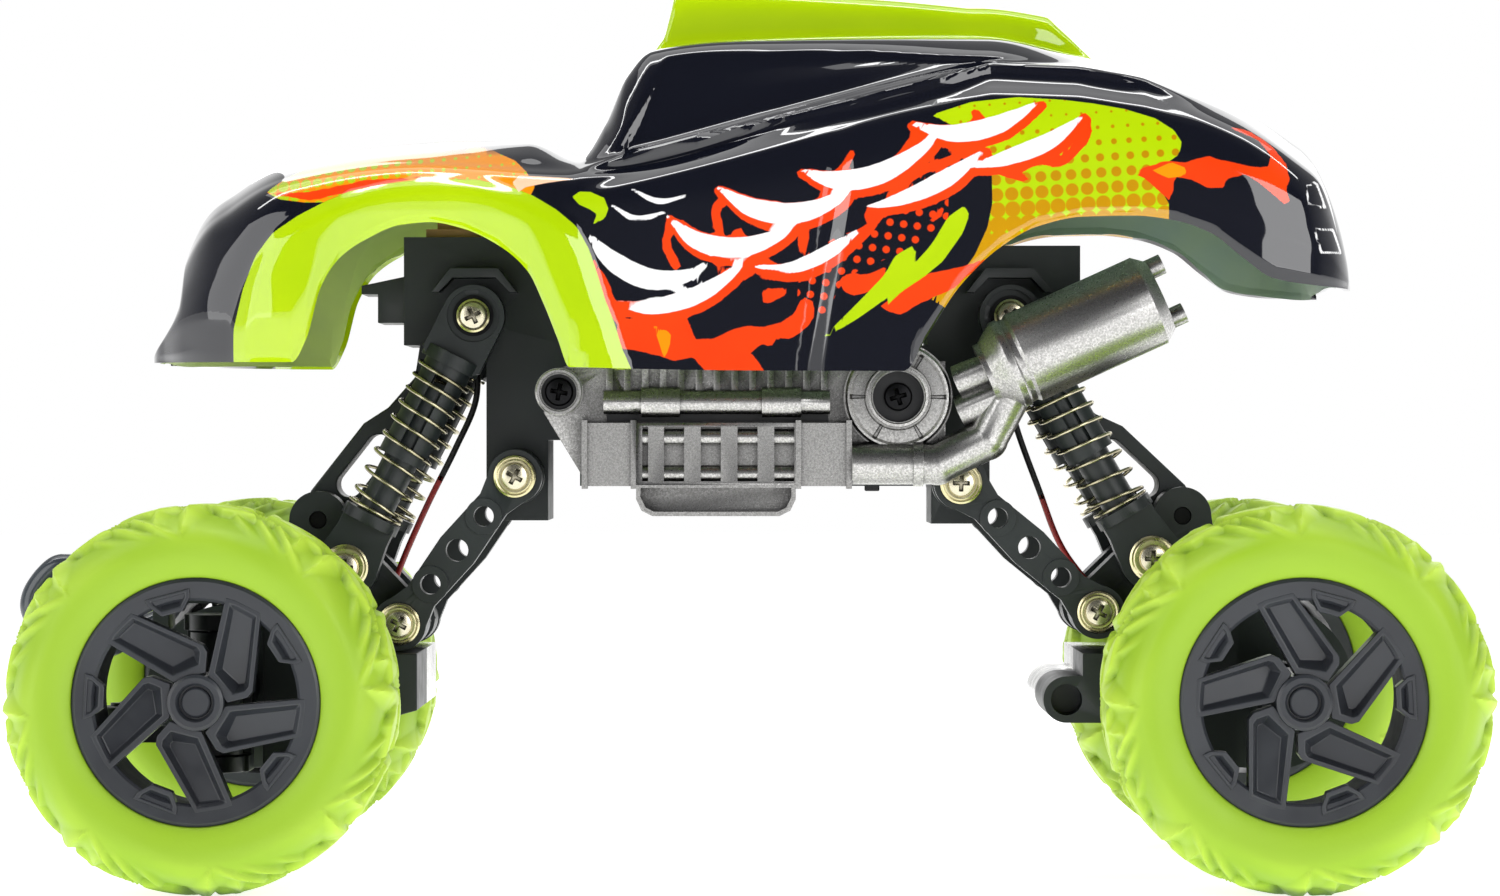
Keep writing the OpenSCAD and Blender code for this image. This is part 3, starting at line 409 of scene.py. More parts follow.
SILL_W = [(-111.5, 12), (-111, 22), (-108, 31), (-104, 38), (-98, 43), (-90, 46.5), (-83, 47.7),
          (90, 47.7), (100, 46.5), (106, 43.5), (109.6, 38), (110.9, 30)]
EDGE_Z = [(-111.5, 95.8), (-83.2, 95.6), (-80.5, 100), (-78, 109), (-74.5, 114.5), (-69.5, 118),
          (-63.5, 120.5), (-57.9, 121), (-52, 119.8), (-46, 117), (-40.3, 112), (-37.4, 106),
          (-35, 100), (-32.8, 94.7), (28, 94), (32, 100), (38.2, 109.5), (45.8, 116.7),
          (52.1, 120.2), (60.4, 122), (70, 122.2), (76.9, 121.4), (84, 118.9), (89.4, 114.7),
          (95, 110.9), (100.4, 109.9), (110.9, 109)]
SHOULDER_Z = [(-111.5, 96.2), (-104, 105), (-95, 113), (-85, 120), (-60, 123.5), (-31, 122),
              (0, 122), (44, 126), (80, 126), (100, 121), (110.9, 109.6)]
BELT_W = [(-111.5, 8), (-104, 30), (-95, 36), (-85, 39), (-60, 41), (-22, 41.5), (44, 38),
          (90, 38), (104, 34), (110.9, 24)]
BELT_Z = [(-111.5, 96.4), (-105, 107), (-103.9, 115), (-95, 124.5), (-85, 129.5), (-60, 132.5),
          (-31, 131), (44, 150), (60, 149.5), (72, 147.5), (86, 142), (94, 138), (101, 133.5),
          (104.3, 131), (108.7, 121), (110.9, 110)]
ROOF_W = [(-111.5, 5), (-104, 20), (-95, 25), (-60, 28), (-31, 32), (-16, 31), (44, 30),
          (60, 28), (90, 24), (110.9, 14)]
ROOF_Z = [(-111.5, 96.5), (-105, 109), (-103.9, 118), (-95, 127.4), (-85, 132.6), (-60, 136),
          (-41, 136.3), (-31.4, 133.6), (-26.6, 139.7), (-22.8, 148), (-18.1, 152.8), (0, 154.8),
          (44, 155.4), (60, 152.6), (72, 149.9), (86, 145), (94, 141.2), (101, 137), (104.3, 134.6),
          (108.7, 123.5), (110.9, 110.2)]
CROWN_Z = [(-111.5, 96.6), (-108, 102.5), (-105, 110), (-103.9, 119.2), (-100, 123), (-95.3, 127.6),
           (-91, 131), (-85.6, 133.7), (-66.8, 137.1), (-54.8, 138), (-41.1, 137.7), (-31.4, 134.6),
           (-26.6, 140.9), (-22.8, 149.5), (-18.1, 154.4), (0, 156.5), (40, 157.5), (59.8, 153.8),
           (72.3, 151), (79.5, 148.9), (86.8, 146), (94, 142.3), (101.4, 138.2), (104.3, 136.1),
           (108.7, 124.5), (110.9, 110.6)]
SCOOP_H = [(-18.1, 0), (-16, 2.6), (-14.1, 10.2), (9.3, 8.4), (28.2, 6.8), (41, 5.5), (56, 6.4),
           (59.8, 3.8), (64.5, 0)]
SCOOP_HALF_W = 18


def along(table, x):
    """Monotone cubic through a table's rows, so that the shell has no flats between them."""
    tx, ty = np.array(table, float).T
    h = np.diff(tx)
    s = np.diff(ty) / h
    m = np.zeros(len(tx))
    same = s[:-1] * s[1:] > 0
    w1, w2 = 2 * h[1:] + h[:-1], h[1:] + 2 * h[:-1]
    m[1:-1][same] = ((w1 + w2)[same]) / (w1[same] / s[:-1][same] + w2[same] / s[1:][same])
    m[0], m[-1] = s[0], s[-1]
    x = np.clip(x, tx[0], tx[-1])
    i = np.clip(np.searchsorted(tx, x, side="right") - 1, 0, len(h) - 1)
    t = (x - tx[i]) / h[i]
    return ((1 + 2 * t) * (1 - t) ** 2 * ty[i] + t * (1 - t) ** 2 * h[i] * m[i]
            + t * t * (3 - 2 * t) * ty[i + 1] + t * t * (t - 1) * h[i] * m[i + 1])


def half_sections(x):
    """For each x, the half cross-section from the sill up to the middle line, as (y, z) pairs."""
    w, lo = along(SILL_W, x), along(EDGE_Z, x)
    sh = np.maximum(along(SHOULDER_Z, x), lo + 0.4)
    bw = np.minimum(along(BELT_W, x), w - 1)
    bz = np.maximum(along(BELT_Z, x), sh + 0.2)
    rw = along(ROOF_W, x)
    rz = np.maximum(along(ROOF_Z, x), bz + 0.1)
    crown = along(CROWN_Z, x)
    top = np.interp(x, *np.array(SCOOP_H, float).T)
    scoop = np.minimum(SCOOP_HALF_W, rw * 0.62)

    def roof(y):
        return crown - (crown - rz) * (y / rw) ** 2

    rows = [
        (w, lo), (w, (lo + sh) / 2), (w, sh),
        (w - 0.12 * (w - bw), sh + 0.45 * (bz - sh)), (w - 0.42 * (w - bw), sh + 0.8 * (bz - sh)),
        (bw, bz), ((bw + rw) / 2 + 0.03 * bw, (bz + rz) / 2), (rw, rz),
        ((rw + scoop) / 2, roof((rw + scoop) / 2)), (scoop + 0.8, roof(scoop + 0.8)),
        (scoop - 0.4, roof(scoop - 0.4) + top * 0.8), (scoop - 2.2, roof(scoop - 2.2) + top),
        (scoop * 0.5, roof(scoop * 0.5) + top), (0 * x, crown + top)]
    return np.stack([np.stack(r, -1) for r in rows], 1)


# How many steps the mesh takes between two rows of the cross-section
SECTION_STEPS = (9, 9, 10, 8, 8, 9, 7, 7, 4, 5, 3, 4, 4)


def shell_surface():
    """The outer surface as an array of points: along the truck, then across from left to right."""
    x = np.unique(np.concatenate([np.arange(-111.5, 110.9, 0.75), np.arange(-84, -70, 0.3),
                                  np.arange(-42, -30, 0.3), np.arange(-27, -13, 0.4),
                                  np.arange(-111.5, -105, 0.2), np.arange(-105, -103.6, 0.04),
                                  np.arange(104, 110.9, 0.2), [110.9]]).round(3))
    rows = half_sections(x)
    ext = np.concatenate([2 * rows[:, :1] - rows[:, 1:2], rows,
                          rows[:, -2:-1] * np.array([-1, 1])], 1)
    out = []
    for k, steps in enumerate(SECTION_STEPS):
        a, b, c, d = (ext[:, k + i] for i in range(4))
        # centripetal knots keep the line from swinging out at close rows
        ta = np.maximum(np.linalg.norm(b - a, axis=1), 1e-3) ** 0.5
        tb = np.maximum(np.linalg.norm(c - b, axis=1), 1e-3) ** 0.5
        tc = np.maximum(np.linalg.norm(d - c, axis=1), 1e-3) ** 0.5
        m1 = ((b - a) / ta[:, None] - (c - a) / (ta + tb)[:, None] + (c - b) / tb[:, None]) * tb[:, None]
        m2 = ((c - b) / tb[:, None] - (d - b) / (tb + tc)[:, None] + (d - c) / tc[:, None]) * tb[:, None]
        for s in range(steps):
            t = s / steps
            out.append((2 * t**3 - 3 * t**2 + 1) * b + (t**3 - 2 * t**2 + t) * m1
                       + (3 * t**2 - 2 * t**3) * c + (t**3 - t**2) * m2)
    out.append(rows[:, -1])
    half = np.stack(out, 1)
    left = np.concatenate([np.repeat(x[:, None, None], half.shape[1], 1), half * (-1, 1)], 2)
    right = left[:, -2::-1] * (1, -1, 1)
    return np.concatenate([left, right], 1)


# ---- livery ----------------------------------------------------------------------------------
# Flat shapes in side view, as (x, z) from midway between the axles

FENDER = [(-94.2, 90), (-94, 101.4), (-92.2, 108.8), (-89.9, 114.8), (-86.7, 119), (-82, 122.2),
          (-77.4, 124.6), (-72.8, 126.6), (-66, 128), (-59.8, 128.8), (-49.6, 128.8), (-43.1, 127.3),
          (-39.4, 125.8), (-35.2, 123.3), (-31.5, 120.2), (-29.2, 116.1), (-27.5, 111),
          (-26.3, 107), (-24.7, 103), (-23.2, 98), (-21.4, 94), (-21, 90)]
BOLT = [(12.5, 99.3), (20.4, 107.2), (24.5, 111.5), (26.4, 115), (29.5, 116.7), (30.2, 116),
        (29.6, 113.2), (33, 117), (36, 122), (38.9, 124), (39.8, 122.3), (38.6, 119), (35, 113.9),
        (31.5, 111), (27.5, 108.4), (24.9, 105.9), (25, 107.4), (22, 105.2), (18.8, 103)]
COMMA = [(-32.3, 125.6), (-31, 126.6), (-29, 126.5), (-26.5, 125.4), (-25.7, 123.4), (-26.4, 121.6),
         (-28.5, 120.6), (-27.8, 122.4), (-29, 123.3), (-31, 124.2)]
QUARTER = [(33, 140.6), (40.3, 143), (48.7, 143.9), (57, 143.4), (62.6, 142.7), (68.2, 141.7),
           (73.7, 140), (77.1, 137.8), (78.5, 135.5), (77.9, 133.3), (75.9, 131.9), (73, 130),
           (74.5, 127), (76, 124.4), (76.2, 118), (60, 114), (45, 108), (38, 104), (32.5, 107.2),
           (37.5, 110.5), (40.8, 115), (43.1, 120), (44, 124.4), (43.9, 130), (42.5, 134), (38, 138)]
HOOD = [(-88.2, 126.6), (-85.5, 125.2), (-81, 124.6), (-77.4, 124.6), (-72.8, 126.6),
        (-66, 128), (-59.8, 128.8), (-49.6, 128.8), (-43.1, 127.3), (-39.8, 125.9), (-39.1, 127.5),
        (-40.8, 130.4), (-43, 132.6), (-46, 134), (-50, 136.4), (-52, 142), (-80, 142), (-80.6, 131.6),
        (-84.4, 129.6)]
RED_SHAPES = [
    [(-88.5, 126.3), (-80, 126.6), (-70, 128.7), (-59.3, 129.3), (-66, 128), (-73, 126.4), (-80, 125)],
    [(-24, 104), (-21, 103.2), (-16.9, 104.2), (-16, 104.9), (-14.6, 103.5), (-11.4, 103.9),
     (-10, 99.8), (-6.7, 99.8), (-3, 101.6), (-0.2, 102.2), (2.1, 101.9), (5.8, 102.8), (6.7, 103.7),
     (8.1, 104.4), (9.5, 107.5), (11.8, 106.4), (11.4, 103), (9.5, 101.2), (7.2, 99.8), (4.9, 100),
     (3.9, 98.4), (2.1, 98.8), (-0.2, 97.4), (1.2, 96.1), (3.3, 93), (-7.2, 93), (-10.4, 96.5),
     (-13.7, 95.8), (-16.9, 96.8), (-20.6, 97.7), (-24, 98.1)],
    [(16, 110.9), (18.8, 111.8), (21.1, 111.4), (24.4, 112.8), (25.6, 112), (22.5, 108.6),
     (18.8, 107.7), (16.9, 108.6)],
    [(23.6, 105.6), (27, 104), (31, 106.3), (37, 109), (43.5, 114.6), (38.2, 112.8), (32, 111.6),
     (28, 109.2)],
    [(2.1, 109.2), (2.4, 106), (6, 107.2), (6.8, 108.6)],
    [(69, 130), (75.4, 132.2), (79.3, 131.9), (83.2, 133), (87.6, 131.9), (91.5, 131.1),
     (94.3, 131.1), (94.9, 133.3), (92.6, 136.1), (87.1, 138.6), (91.5, 137.8), (95.4, 135),
     (97.7, 131.6), (98.2, 128.9), (97.4, 127.2), (98.2, 125), (97.1, 124.2), (94.9, 126.1),
     (92.6, 128), (89.9, 129.7), (86.5, 128.9), (86, 127.2), (83.2, 127.2), (80.4, 128.6),
     (77.1, 129.4), (76.8, 126.6), (76, 125), (73.7, 127.2), (71.5, 129.1)],
    [(40, 110), (46, 113.5), (52, 118.6), (49, 118.2), (44, 115.4)]]
# Strokes: (x, z, half width) along each
RED_STROKES = [
    [(-29, 114.5, .5), (-26.4, 109.5, .9), (-24.4, 104, .8)],
    [(-13.4, 113.3, .9), (-15.3, 117, .8), (-13.9, 120.2, .8), (-12.3, 120.7, .7)],
    [(-5.6, 119.6, .8), (-6.2, 123, .9), (-4.6, 125.3, .8), (-2.8, 126, .7)],
    [(-2.3, 118.8, 1), (.6, 116, .8)], [(-5.6, 113.7, .9), (-2.6, 118, .8)],
    [(-15.5, 103, 1), (-12, 105.6, 1), (-7, 108.6, .8), (-1.5, 110.9, .7), (2.2, 113, .8),
     (6, 112, .8), (10, 111.4, 1.1), (16, 115, 1), (20.5, 118.6, .9), (24.3, 123.6, .8),
     (27.2, 127.4, .8), (31, 130.4, .9), (36.4, 132.2, .8), (39.2, 133.7, .8), (44.2, 131, .9),
     (48, 129.8, 1), (50.3, 128.6, .4)],
    [(48, 130.8, .9), (51.5, 132.4, .8), (56, 131.9, .9), (59, 134.2, .9), (61.4, 137.4, .8),
     (60.8, 140.4, .6)],
    [(9.6, 117, 1), (10.4, 121.4, .9), (14, 126, 1.1), (18.6, 133.6, .6)],
    [(26, 130.6, 1.2), (31, 137.4, 1)], [(41, 140.8, .9), (44, 137.2, 1.1)],
    [(34.6, 122.8, .7), (32.8, 121, .3)]]
AMBER_SHAPES = [
    [(-17.6, 102.4), (-16, 101.5), (-14.3, 101.1), (-14.6, 98.2), (-15.6, 96.2), (-16.6, 99.4)],
    [(72.9, 130.3), (76.5, 131.9), (79.3, 130.8), (79, 129.4), (76, 129)]]
PEACH = [(-43.2, 128.2), (-42, 129.6), (-38, 129.4), (-31.5, 129), (-37, 128.2), (-40.8, 127.4),
         (-42, 126.5)]
DOT_ZONE = [(8.5, 106), (9, 113), (15, 118), (22, 120.6), (28, 127), (36, 127.3), (36, 121),
            (30, 117), (26, 114.8), (20, 112.5), (16, 109), (14, 104)]
# Loose white brush sweeps, one behind the other
SWEEPS = [
    [(-29.5, 119, .3), (-25, 114, 1.7), (-18, 110.6, 1.9), (-11, 111.4, 1.1), (-7, 114.2, .2)],
    [(-25, 106.4, .2), (-18, 105.6, 1.3), (-10, 107.6, 1.6), (-3.5, 111.6, .9), (-.5, 115, .2)],
    [(-15, 122, .2), (-9.5, 117.6, 1.6), (-2, 116.4, 1.8), (5, 118.6, 1.1), (9.4, 122.4, .2)],
    [(-6, 127.4, .2), (.5, 123.6, 1.7), (8, 122.6, 1.9), (15, 124.8, 1.2), (19.4, 129, .2)],
    [(1, 113, .2), (7, 112.6, 1), (14, 115.4, 1.3), (20.4, 120, .2)],
    [(9, 130.6, .2), (15.5, 128.6, 1.6), (23.5, 129.8, 1.9), (31, 134.2, 1.1), (34.6, 138, .2)],
    [(21, 123.6, .2), (28.5, 125.6, 1.3), (36, 129.2, 1.6), (42.4, 134, .2)],
    [(29, 139.2, .2), (36.5, 137.2, 1.5), (45, 138.8, 1.7), (52.6, 143, .2)],
    [(40, 131, .2), (47, 132.8, 1.4), (54.4, 135.8, 1.5), (60.6, 140.4, .2)],
    [(-25, 124, .2), (-20.6, 121.6, .6), (-15.4, 122.8, .2)],
    [(-21.4, 127, .2), (-16.6, 124.8, .5), (-11.6, 125.8, .2)]]
# Plain outlines where the tail carries small marks
TAIL_BOXES = [[(101.2, 127.6), (103.4, 128.6), (105, 123.8), (101.8, 124.2)],
              [(102.6, 119.8), (106.4, 119.8), (108, 115.6), (104, 115.6)]]
# Shapes seen from the ends, as (distance from the middle plane, z)
GRILLE = [(-1, 101.4), (17.5, 101.8), (20.5, 104.4), (19.6, 112.2), (17.4, 114), (-1, 114.6)]
LAMP = [(22.6, 106.4), (31, 108.6), (32.6, 111.4), (31, 114.2), (22, 113.8)]
TAIL_LAMP = [(15, 120), (27, 119), (28.4, 120.6), (27.6, 125.6), (16, 127)]
NOSE_X, TAIL_X = -96, 98
BAR_PITCH, BAR_Z = 2.64, 101.4
WINDOW = [(-24.4, 133.4), (-15.4, 151.2), (0, 152), (22, 152.6), (47, 151.4), (33, 148), (2, 140.4),
          (-16, 135.2)]


def inside(poly, p):
    """Distance to the polygon's outline, positive inside it."""
    q = np.asarray(poly, float)
    d = np.full(len(p), 1e9)
    sign = np.ones(len(p))
    for a, b in zip(q, np.roll(q, -1, 0)):
        e, w = b - a, p - a
        t = np.clip((w @ e) / (e @ e), 0, 1)
        d = np.minimum(d, np.hypot(*(w - t[:, None] * e).T))
        above, below = p[:, 1] >= a[1], p[:, 1] < b[1]
        turn = e[0] * w[:, 1] - e[1] * w[:, 0] > 0
        sign[(above & below & turn) | (~above & ~below & ~turn)] *= -1
    return -sign * d


def near(stroke, p, grow=0.0, shift=(0, 0)):
    """Distance to a tapering stroke's outline, positive inside it."""
    d = np.full(len(p), -1e9)
    s = curve_through(stroke, 5 * len(stroke))
    for a, b in zip(s[:-1], s[1:]):
        e, w = (b - a)[:2], p - a[:2] - np.asarray(shift)
        t = np.clip((w @ e) / max(e @ e, 1e-9), 0, 1)
        d = np.maximum(d, a[2] + t * (b[2] - a[2]) + grow - np.hypot(*(w - t[:, None] * e).T))
    return d


def union(*fields):
    return np.maximum.reduce(fields)


def any_inside(shapes, p):
    return union(*[inside(s, p) for s in shapes])


def livery(pts):
    """The livery's fields for the shell's points: each is positive inside its shapes."""
    p, x, y, z = pts[:, [0, 2]], pts[:, 0], np.abs(pts[:, 1]), pts[:, 2]
    end = np.stack([y, z], 1)
    scoop = np.minimum.reduce([19.6 - y, x + 18.2, 64.8 - x, z - 140])
    # each of the large sweeps has a red shadow below it
    shadows = [near(s, p, 0.75, (0.5, -0.7)) for s in SWEEPS[1:9]]
    outlines = [0.2 - np.abs(inside(s, p)) for s in TAIL_BOXES]
    return {
        "quarter": np.minimum(inside(QUARTER, p), y - 20),
        "hood": inside(HOOD, p),
        "red": union(any_inside(RED_SHAPES, p), *[near(s, p) for s in RED_STROKES], *shadows),
        "amber": any_inside(AMBER_SHAPES, p),
        "peach": inside(PEACH, p),
        "lime": union(any_inside((FENDER, BOLT, COMMA), p), scoop),
        "dots": inside(DOT_ZONE, p),
        "grille": np.minimum(inside(GRILLE, end), NOSE_X - x),
        "lamp": np.minimum(inside(LAMP, end), NOSE_X - x),
        "tail_lamp": np.minimum(inside(TAIL_LAMP, end), x - TAIL_X),
        "white": union(*[near(s, p) for s in SWEEPS], *outlines)}


def shell_paint():
    """Glossy paint: the livery's fields laid over each other, from black up to white."""
    n = Nodes("shell_paint")
    x, z = n.axis(0), n.axis(2)
    wobble = n.math("MULTIPLY", n.math("SUBTRACT", n.noise(420, 4), 0.5), 0.9)

    def cover(field, edge=0):
        """1 where the field is positive; edge is how brushed its outline is."""
        value = n.attribute(field)
        if edge:
            value = n.math("MULTIPLY_ADD", wobble, edge, value)
        return n.math("MULTIPLY_ADD", value, 7, 0.5, clamp=True)

    def dots(pitch, tilt, radius):
        """Rows of round dots; radius is a share of the pitch, as a number or a socket."""
        a = math.radians(tilt)
        c, s = math.cos(a) / (pitch * MM), math.sin(a) / (pitch * MM)
        u = n.math("ADD", n.math("MULTIPLY", x, c), n.math("MULTIPLY", z, s))
        v = n.math("SUBTRACT", n.math("MULTIPLY", z, c), n.math("MULTIPLY", x, s))
        du = n.math("SUBTRACT", n.math("FRACT", u), 0.5)
        dv = n.math("SUBTRACT", n.math("FRACT", v), 0.5)
        d = n.math("SQRT", n.math("ADD", n.math("MULTIPLY", du, du), n.math("MULTIPLY", dv, dv)))
        return n.math("MULTIPLY", n.math("SUBTRACT", radius, d), 14, clamp=True)

    black = n.mix(n.noise(30), srgb(13, 15, 24), srgb(18, 20, 30))
    lime = n.mix(n.range(n.noise(26), 0.3, 0.7, 0, 1), srgb(170, 206, 0), srgb(188, 218, 10))
    orange = n.mix(n.noise(40), srgb(232, 138, 0), srgb(244, 154, 6))
    red = n.mix(n.noise(60), srgb(226, 56, 8), srgb(246, 72, 14))
    # the dots on the quarter panel grow and darken downwards, and those on the hood grow forwards
    gold = n.mix(n.range(z, 0.118, 0.134, 0, 1), srgb(202, 148, 0), srgb(186, 134, 0))
    quarter = n.mix(dots(2.75, 4, n.range(z, 0.116, 0.140, 0.74, 0.12)), lime, gold)
    hood = n.mix(dots(2.1, 6, n.range(x, -0.082, -0.048, 0.52, 0.16)), orange, srgb(178, 200, 20))
    streak = n.range(n.noise(55, 3, 0.6, distortion=1.2), 0.53, 0.56, 0, 1)
    hood = n.mix(n.math("MULTIPLY", streak, n.range(z, 0.1335, 0.1352, 0, 1)), hood, black)
    above = n.math("SUBTRACT", z, BAR_Z * MM)
    wave = n.math("SINE", n.math("MULTIPLY", above, 2 * math.pi / (BAR_PITCH * MM)))
    bars = n.mix(n.range(wave, -1, -0.2, 1, 0), srgb(26, 27, 30), srgb(70, 73, 78))
    flute = n.range(n.math("SINE", n.math("MULTIPLY", n.axis(1), 5200)), -1, 1, 0, 1)

    colour = n.mix(n.math("MULTIPLY", cover("dots"), dots(2.5, -8, 0.3), clamp=True), black, red)
    for field, layer, edge in (
            ("quarter", quarter, 0),
            ("hood", hood, 0),
            ("red", red, 0.7),
            ("amber", orange, 0),
            ("lime", lime, 0.12),
            ("peach", srgb(255, 206, 170), 0),
            ("white", n.mix(n.noise(90), srgb(236, 236, 238), srgb(252, 252, 252)), 0.35),
            ("grille", bars, 0),
            ("lamp", n.mix(flute, srgb(196, 202, 210), srgb(236, 238, 242)), 0),
            ("tail_lamp", n.mix(flute, srgb(120, 6, 10), srgb(176, 18, 20)), 0)):
        colour = n.mix(cover(field, edge), colour, layer)
    n.set(Base_Color=colour)
    n.set(Roughness=n.range(n.noise(70, 3), 0.3, 0.7, 0.03, 0.06))
    n.set(Specular_IOR_Level=0.6, Coat_Weight=0.45, Coat_Roughness=0.03)
    n.bump(n.noise(38, 2), 0.1, 0.0006)
    return n.mat


def lining():
    """Unpainted inside of the clear shell: the paint shows through it, matte and greyed."""
    n = Nodes("shell_lining")
    front = n.range(n.axis(0), -0.04, 0.03, 0, 1)
    tone = n.mix(front, srgb(204, 222, 140), srgb(150, 172, 160))
    n.set(Base_Color=n.mix(n.range(n.noise(60), 0.35, 0.65, 0, 0.4), tone, srgb(168, 188, 140)))
    n.set(Roughness=n.range(n.noise(90, 3), 0.3, 0.7, 0.5, 0.7))
    n.bump(n.noise(240, 3), 0.3, 0.0001)
    return n.mat


def bell(x, width):
    return np.exp(-((x / width) ** 2))


def shell_relief(flat):
    """Moves the smooth outer points to the shell's finer shapes."""
    x, y, z = flat.T
    p, end = flat[:, [0, 2]], np.stack([np.abs(y), z], 1)
    edge = z - np.interp(x, *np.array(EDGE_Z, float).T)
    gap = z - np.interp(x, *np.array(BELT_Z, float).T)

    # on the flanks: fender blisters, rolled lips at the arches, door crease, belt ridge and side window
    puff = 1.5 * step(inside(FENDER, p), -1.2, 3.2) * step(140 - z, 0, 8)
    puff = puff - 1.1 * (1 - step(edge, 0, 9)) * step(-x, 30, 34)
    lip = -0.8 * (1 - step(edge, 0, 1.6)) * (np.abs(x) > 30)
    crease = 0.85 * bell(x - 10 - (z - 95) * 0.17, 2.2) * (1 - step(z, 128, 140))
    on_belt = step(x, -34, -24) * (1 - step(x, 66, 86))
    ridge = on_belt * (1.5 * bell(gap + 0.4, 0.9) - 0.9 * bell(gap + 3.4, 1.6))
    window = -1.1 * step(inside(WINDOW, p), -0.4, 1.2)
    flank = step(np.abs(y), 24, 34)
    outwards = flank * (puff + lip + ridge + window + crease)

    # at the ends: grille bars and sunk lamps
    bars = step(np.cos((z - BAR_Z) * 2 * math.pi / BAR_PITCH), -0.3, 0.3)
    nose = 0.9 * bars * step(inside(GRILLE, end), 0, 0.7) + 0.5 * step(inside(LAMP, end), 0, 0.8)
    tail = -0.4 * step(inside(TAIL_LAMP, end), 0, 0.8)
    back = np.where(x < NOSE_X, nose, 0) + np.where(x > TAIL_X, tail, 0)
    return flat + np.stack([back, np.sign(y) * outwards, 0.35 * np.maximum(ridge, 0) * flank], 1)


def build_shell():
    surface = shell_surface()
    rows, cols = surface.shape[:2]
    surface = shell_relief(surface.reshape(-1, 3)).reshape(rows, cols, 3)

    du, dv = np.gradient(surface, axis=0), np.gradient(surface, axis=1)
    normal = np.cross(dv, du)
    normal /= np.maximum(np.linalg.norm(normal, axis=2), 1e-9)[..., None]
    if normal[rows // 2, cols // 2, 2] < 0:
        normal = -normal
    under = surface - SHELL_T * normal
    under[:, :, 0] = np.clip(under[:, :, 0], surface[0, 0, 0] + 0.6, surface[-1, 0, 0] - 0.6)
    n = rows * cols
    faces = grid_faces(rows, cols)
    inner = [tuple(v + n for v in reversed(f)) for f in faces]
    border = ([(i, i + 1) for i in range(cols - 1)]
              + [((rows - 1) * cols + i + 1, (rows - 1) * cols + i) for i in range(cols - 1)]
              + [((i + 1) * cols, i * cols) for i in range(rows - 1)]
              + [(i * cols + cols - 1, (i + 1) * cols + cols - 1) for i in range(rows - 1)])
    rim = [(a, a + n, b + n, b) for a, b in border]
    verts = np.concatenate([surface.reshape(-1, 3), under.reshape(-1, 3)])
    shell = add_mesh("shell_skin", verts + (MID_X, 0, 0), faces + inner + rim, shell_paint(), lining())
    index = np.zeros(len(shell.data.polygons), np.int32)
    index[len(faces):len(faces) + len(inner)] = 1
    shell.data.polygons.foreach_set("material_index", index)
    for name, values in livery(verts).items():
        store(shell, name, values)
    smooth(fix_normals(shell), 50)
    return stands_for(shell, "body_shell")


# ---- wheels ----------------------------------------------------------------------------------

REAR_TURN = 42  # the rear wheels stand turned on by this many degrees


def wheel_place(verts, end, side):
    """From the wheel frame, z outwards from the tyre's middle; the same moulding fits both sides."""
    a = math.radians(REAR_TURN * end)
    x, y, z = verts.T
    u, v = x * math.cos(a) - y * math.sin(a), x * math.sin(a) + y * math.cos(a)
    hub_x = MID_X + (HALF_BASE if end else -HALF_BASE)
    return np.stack([hub_x - side * u, side * (HALF_TRACK + z), HUB_Z + v], 1)


TYRE_HALF = [(21.0, 11.2), (21.0, 13.2), (22.06, 14.2), (22.1, 15.2), (22.7, 15.9), (24.2, 16.6),
             (26.4, 17.0), (28.2, 16.8), (29.4, 16.2), (30.6, 15.1), (31.6, 13.5), (32.4, 11.6),
             (32.9, 9.4), (33.2, 6.8), (33.3, 3.5), (33.3, 0)]
TYRE_R, TYRE_W = 35.0, 36.0
GROUPS = 8  # lug groups round the tyre, each with two teeth and three long ridges
TEETH = ((0.1, 29.2), (0.31, 30.0))
RIDGES = ((0.5, 28.6), (0.64, 29.4), (0.8, 30.4))


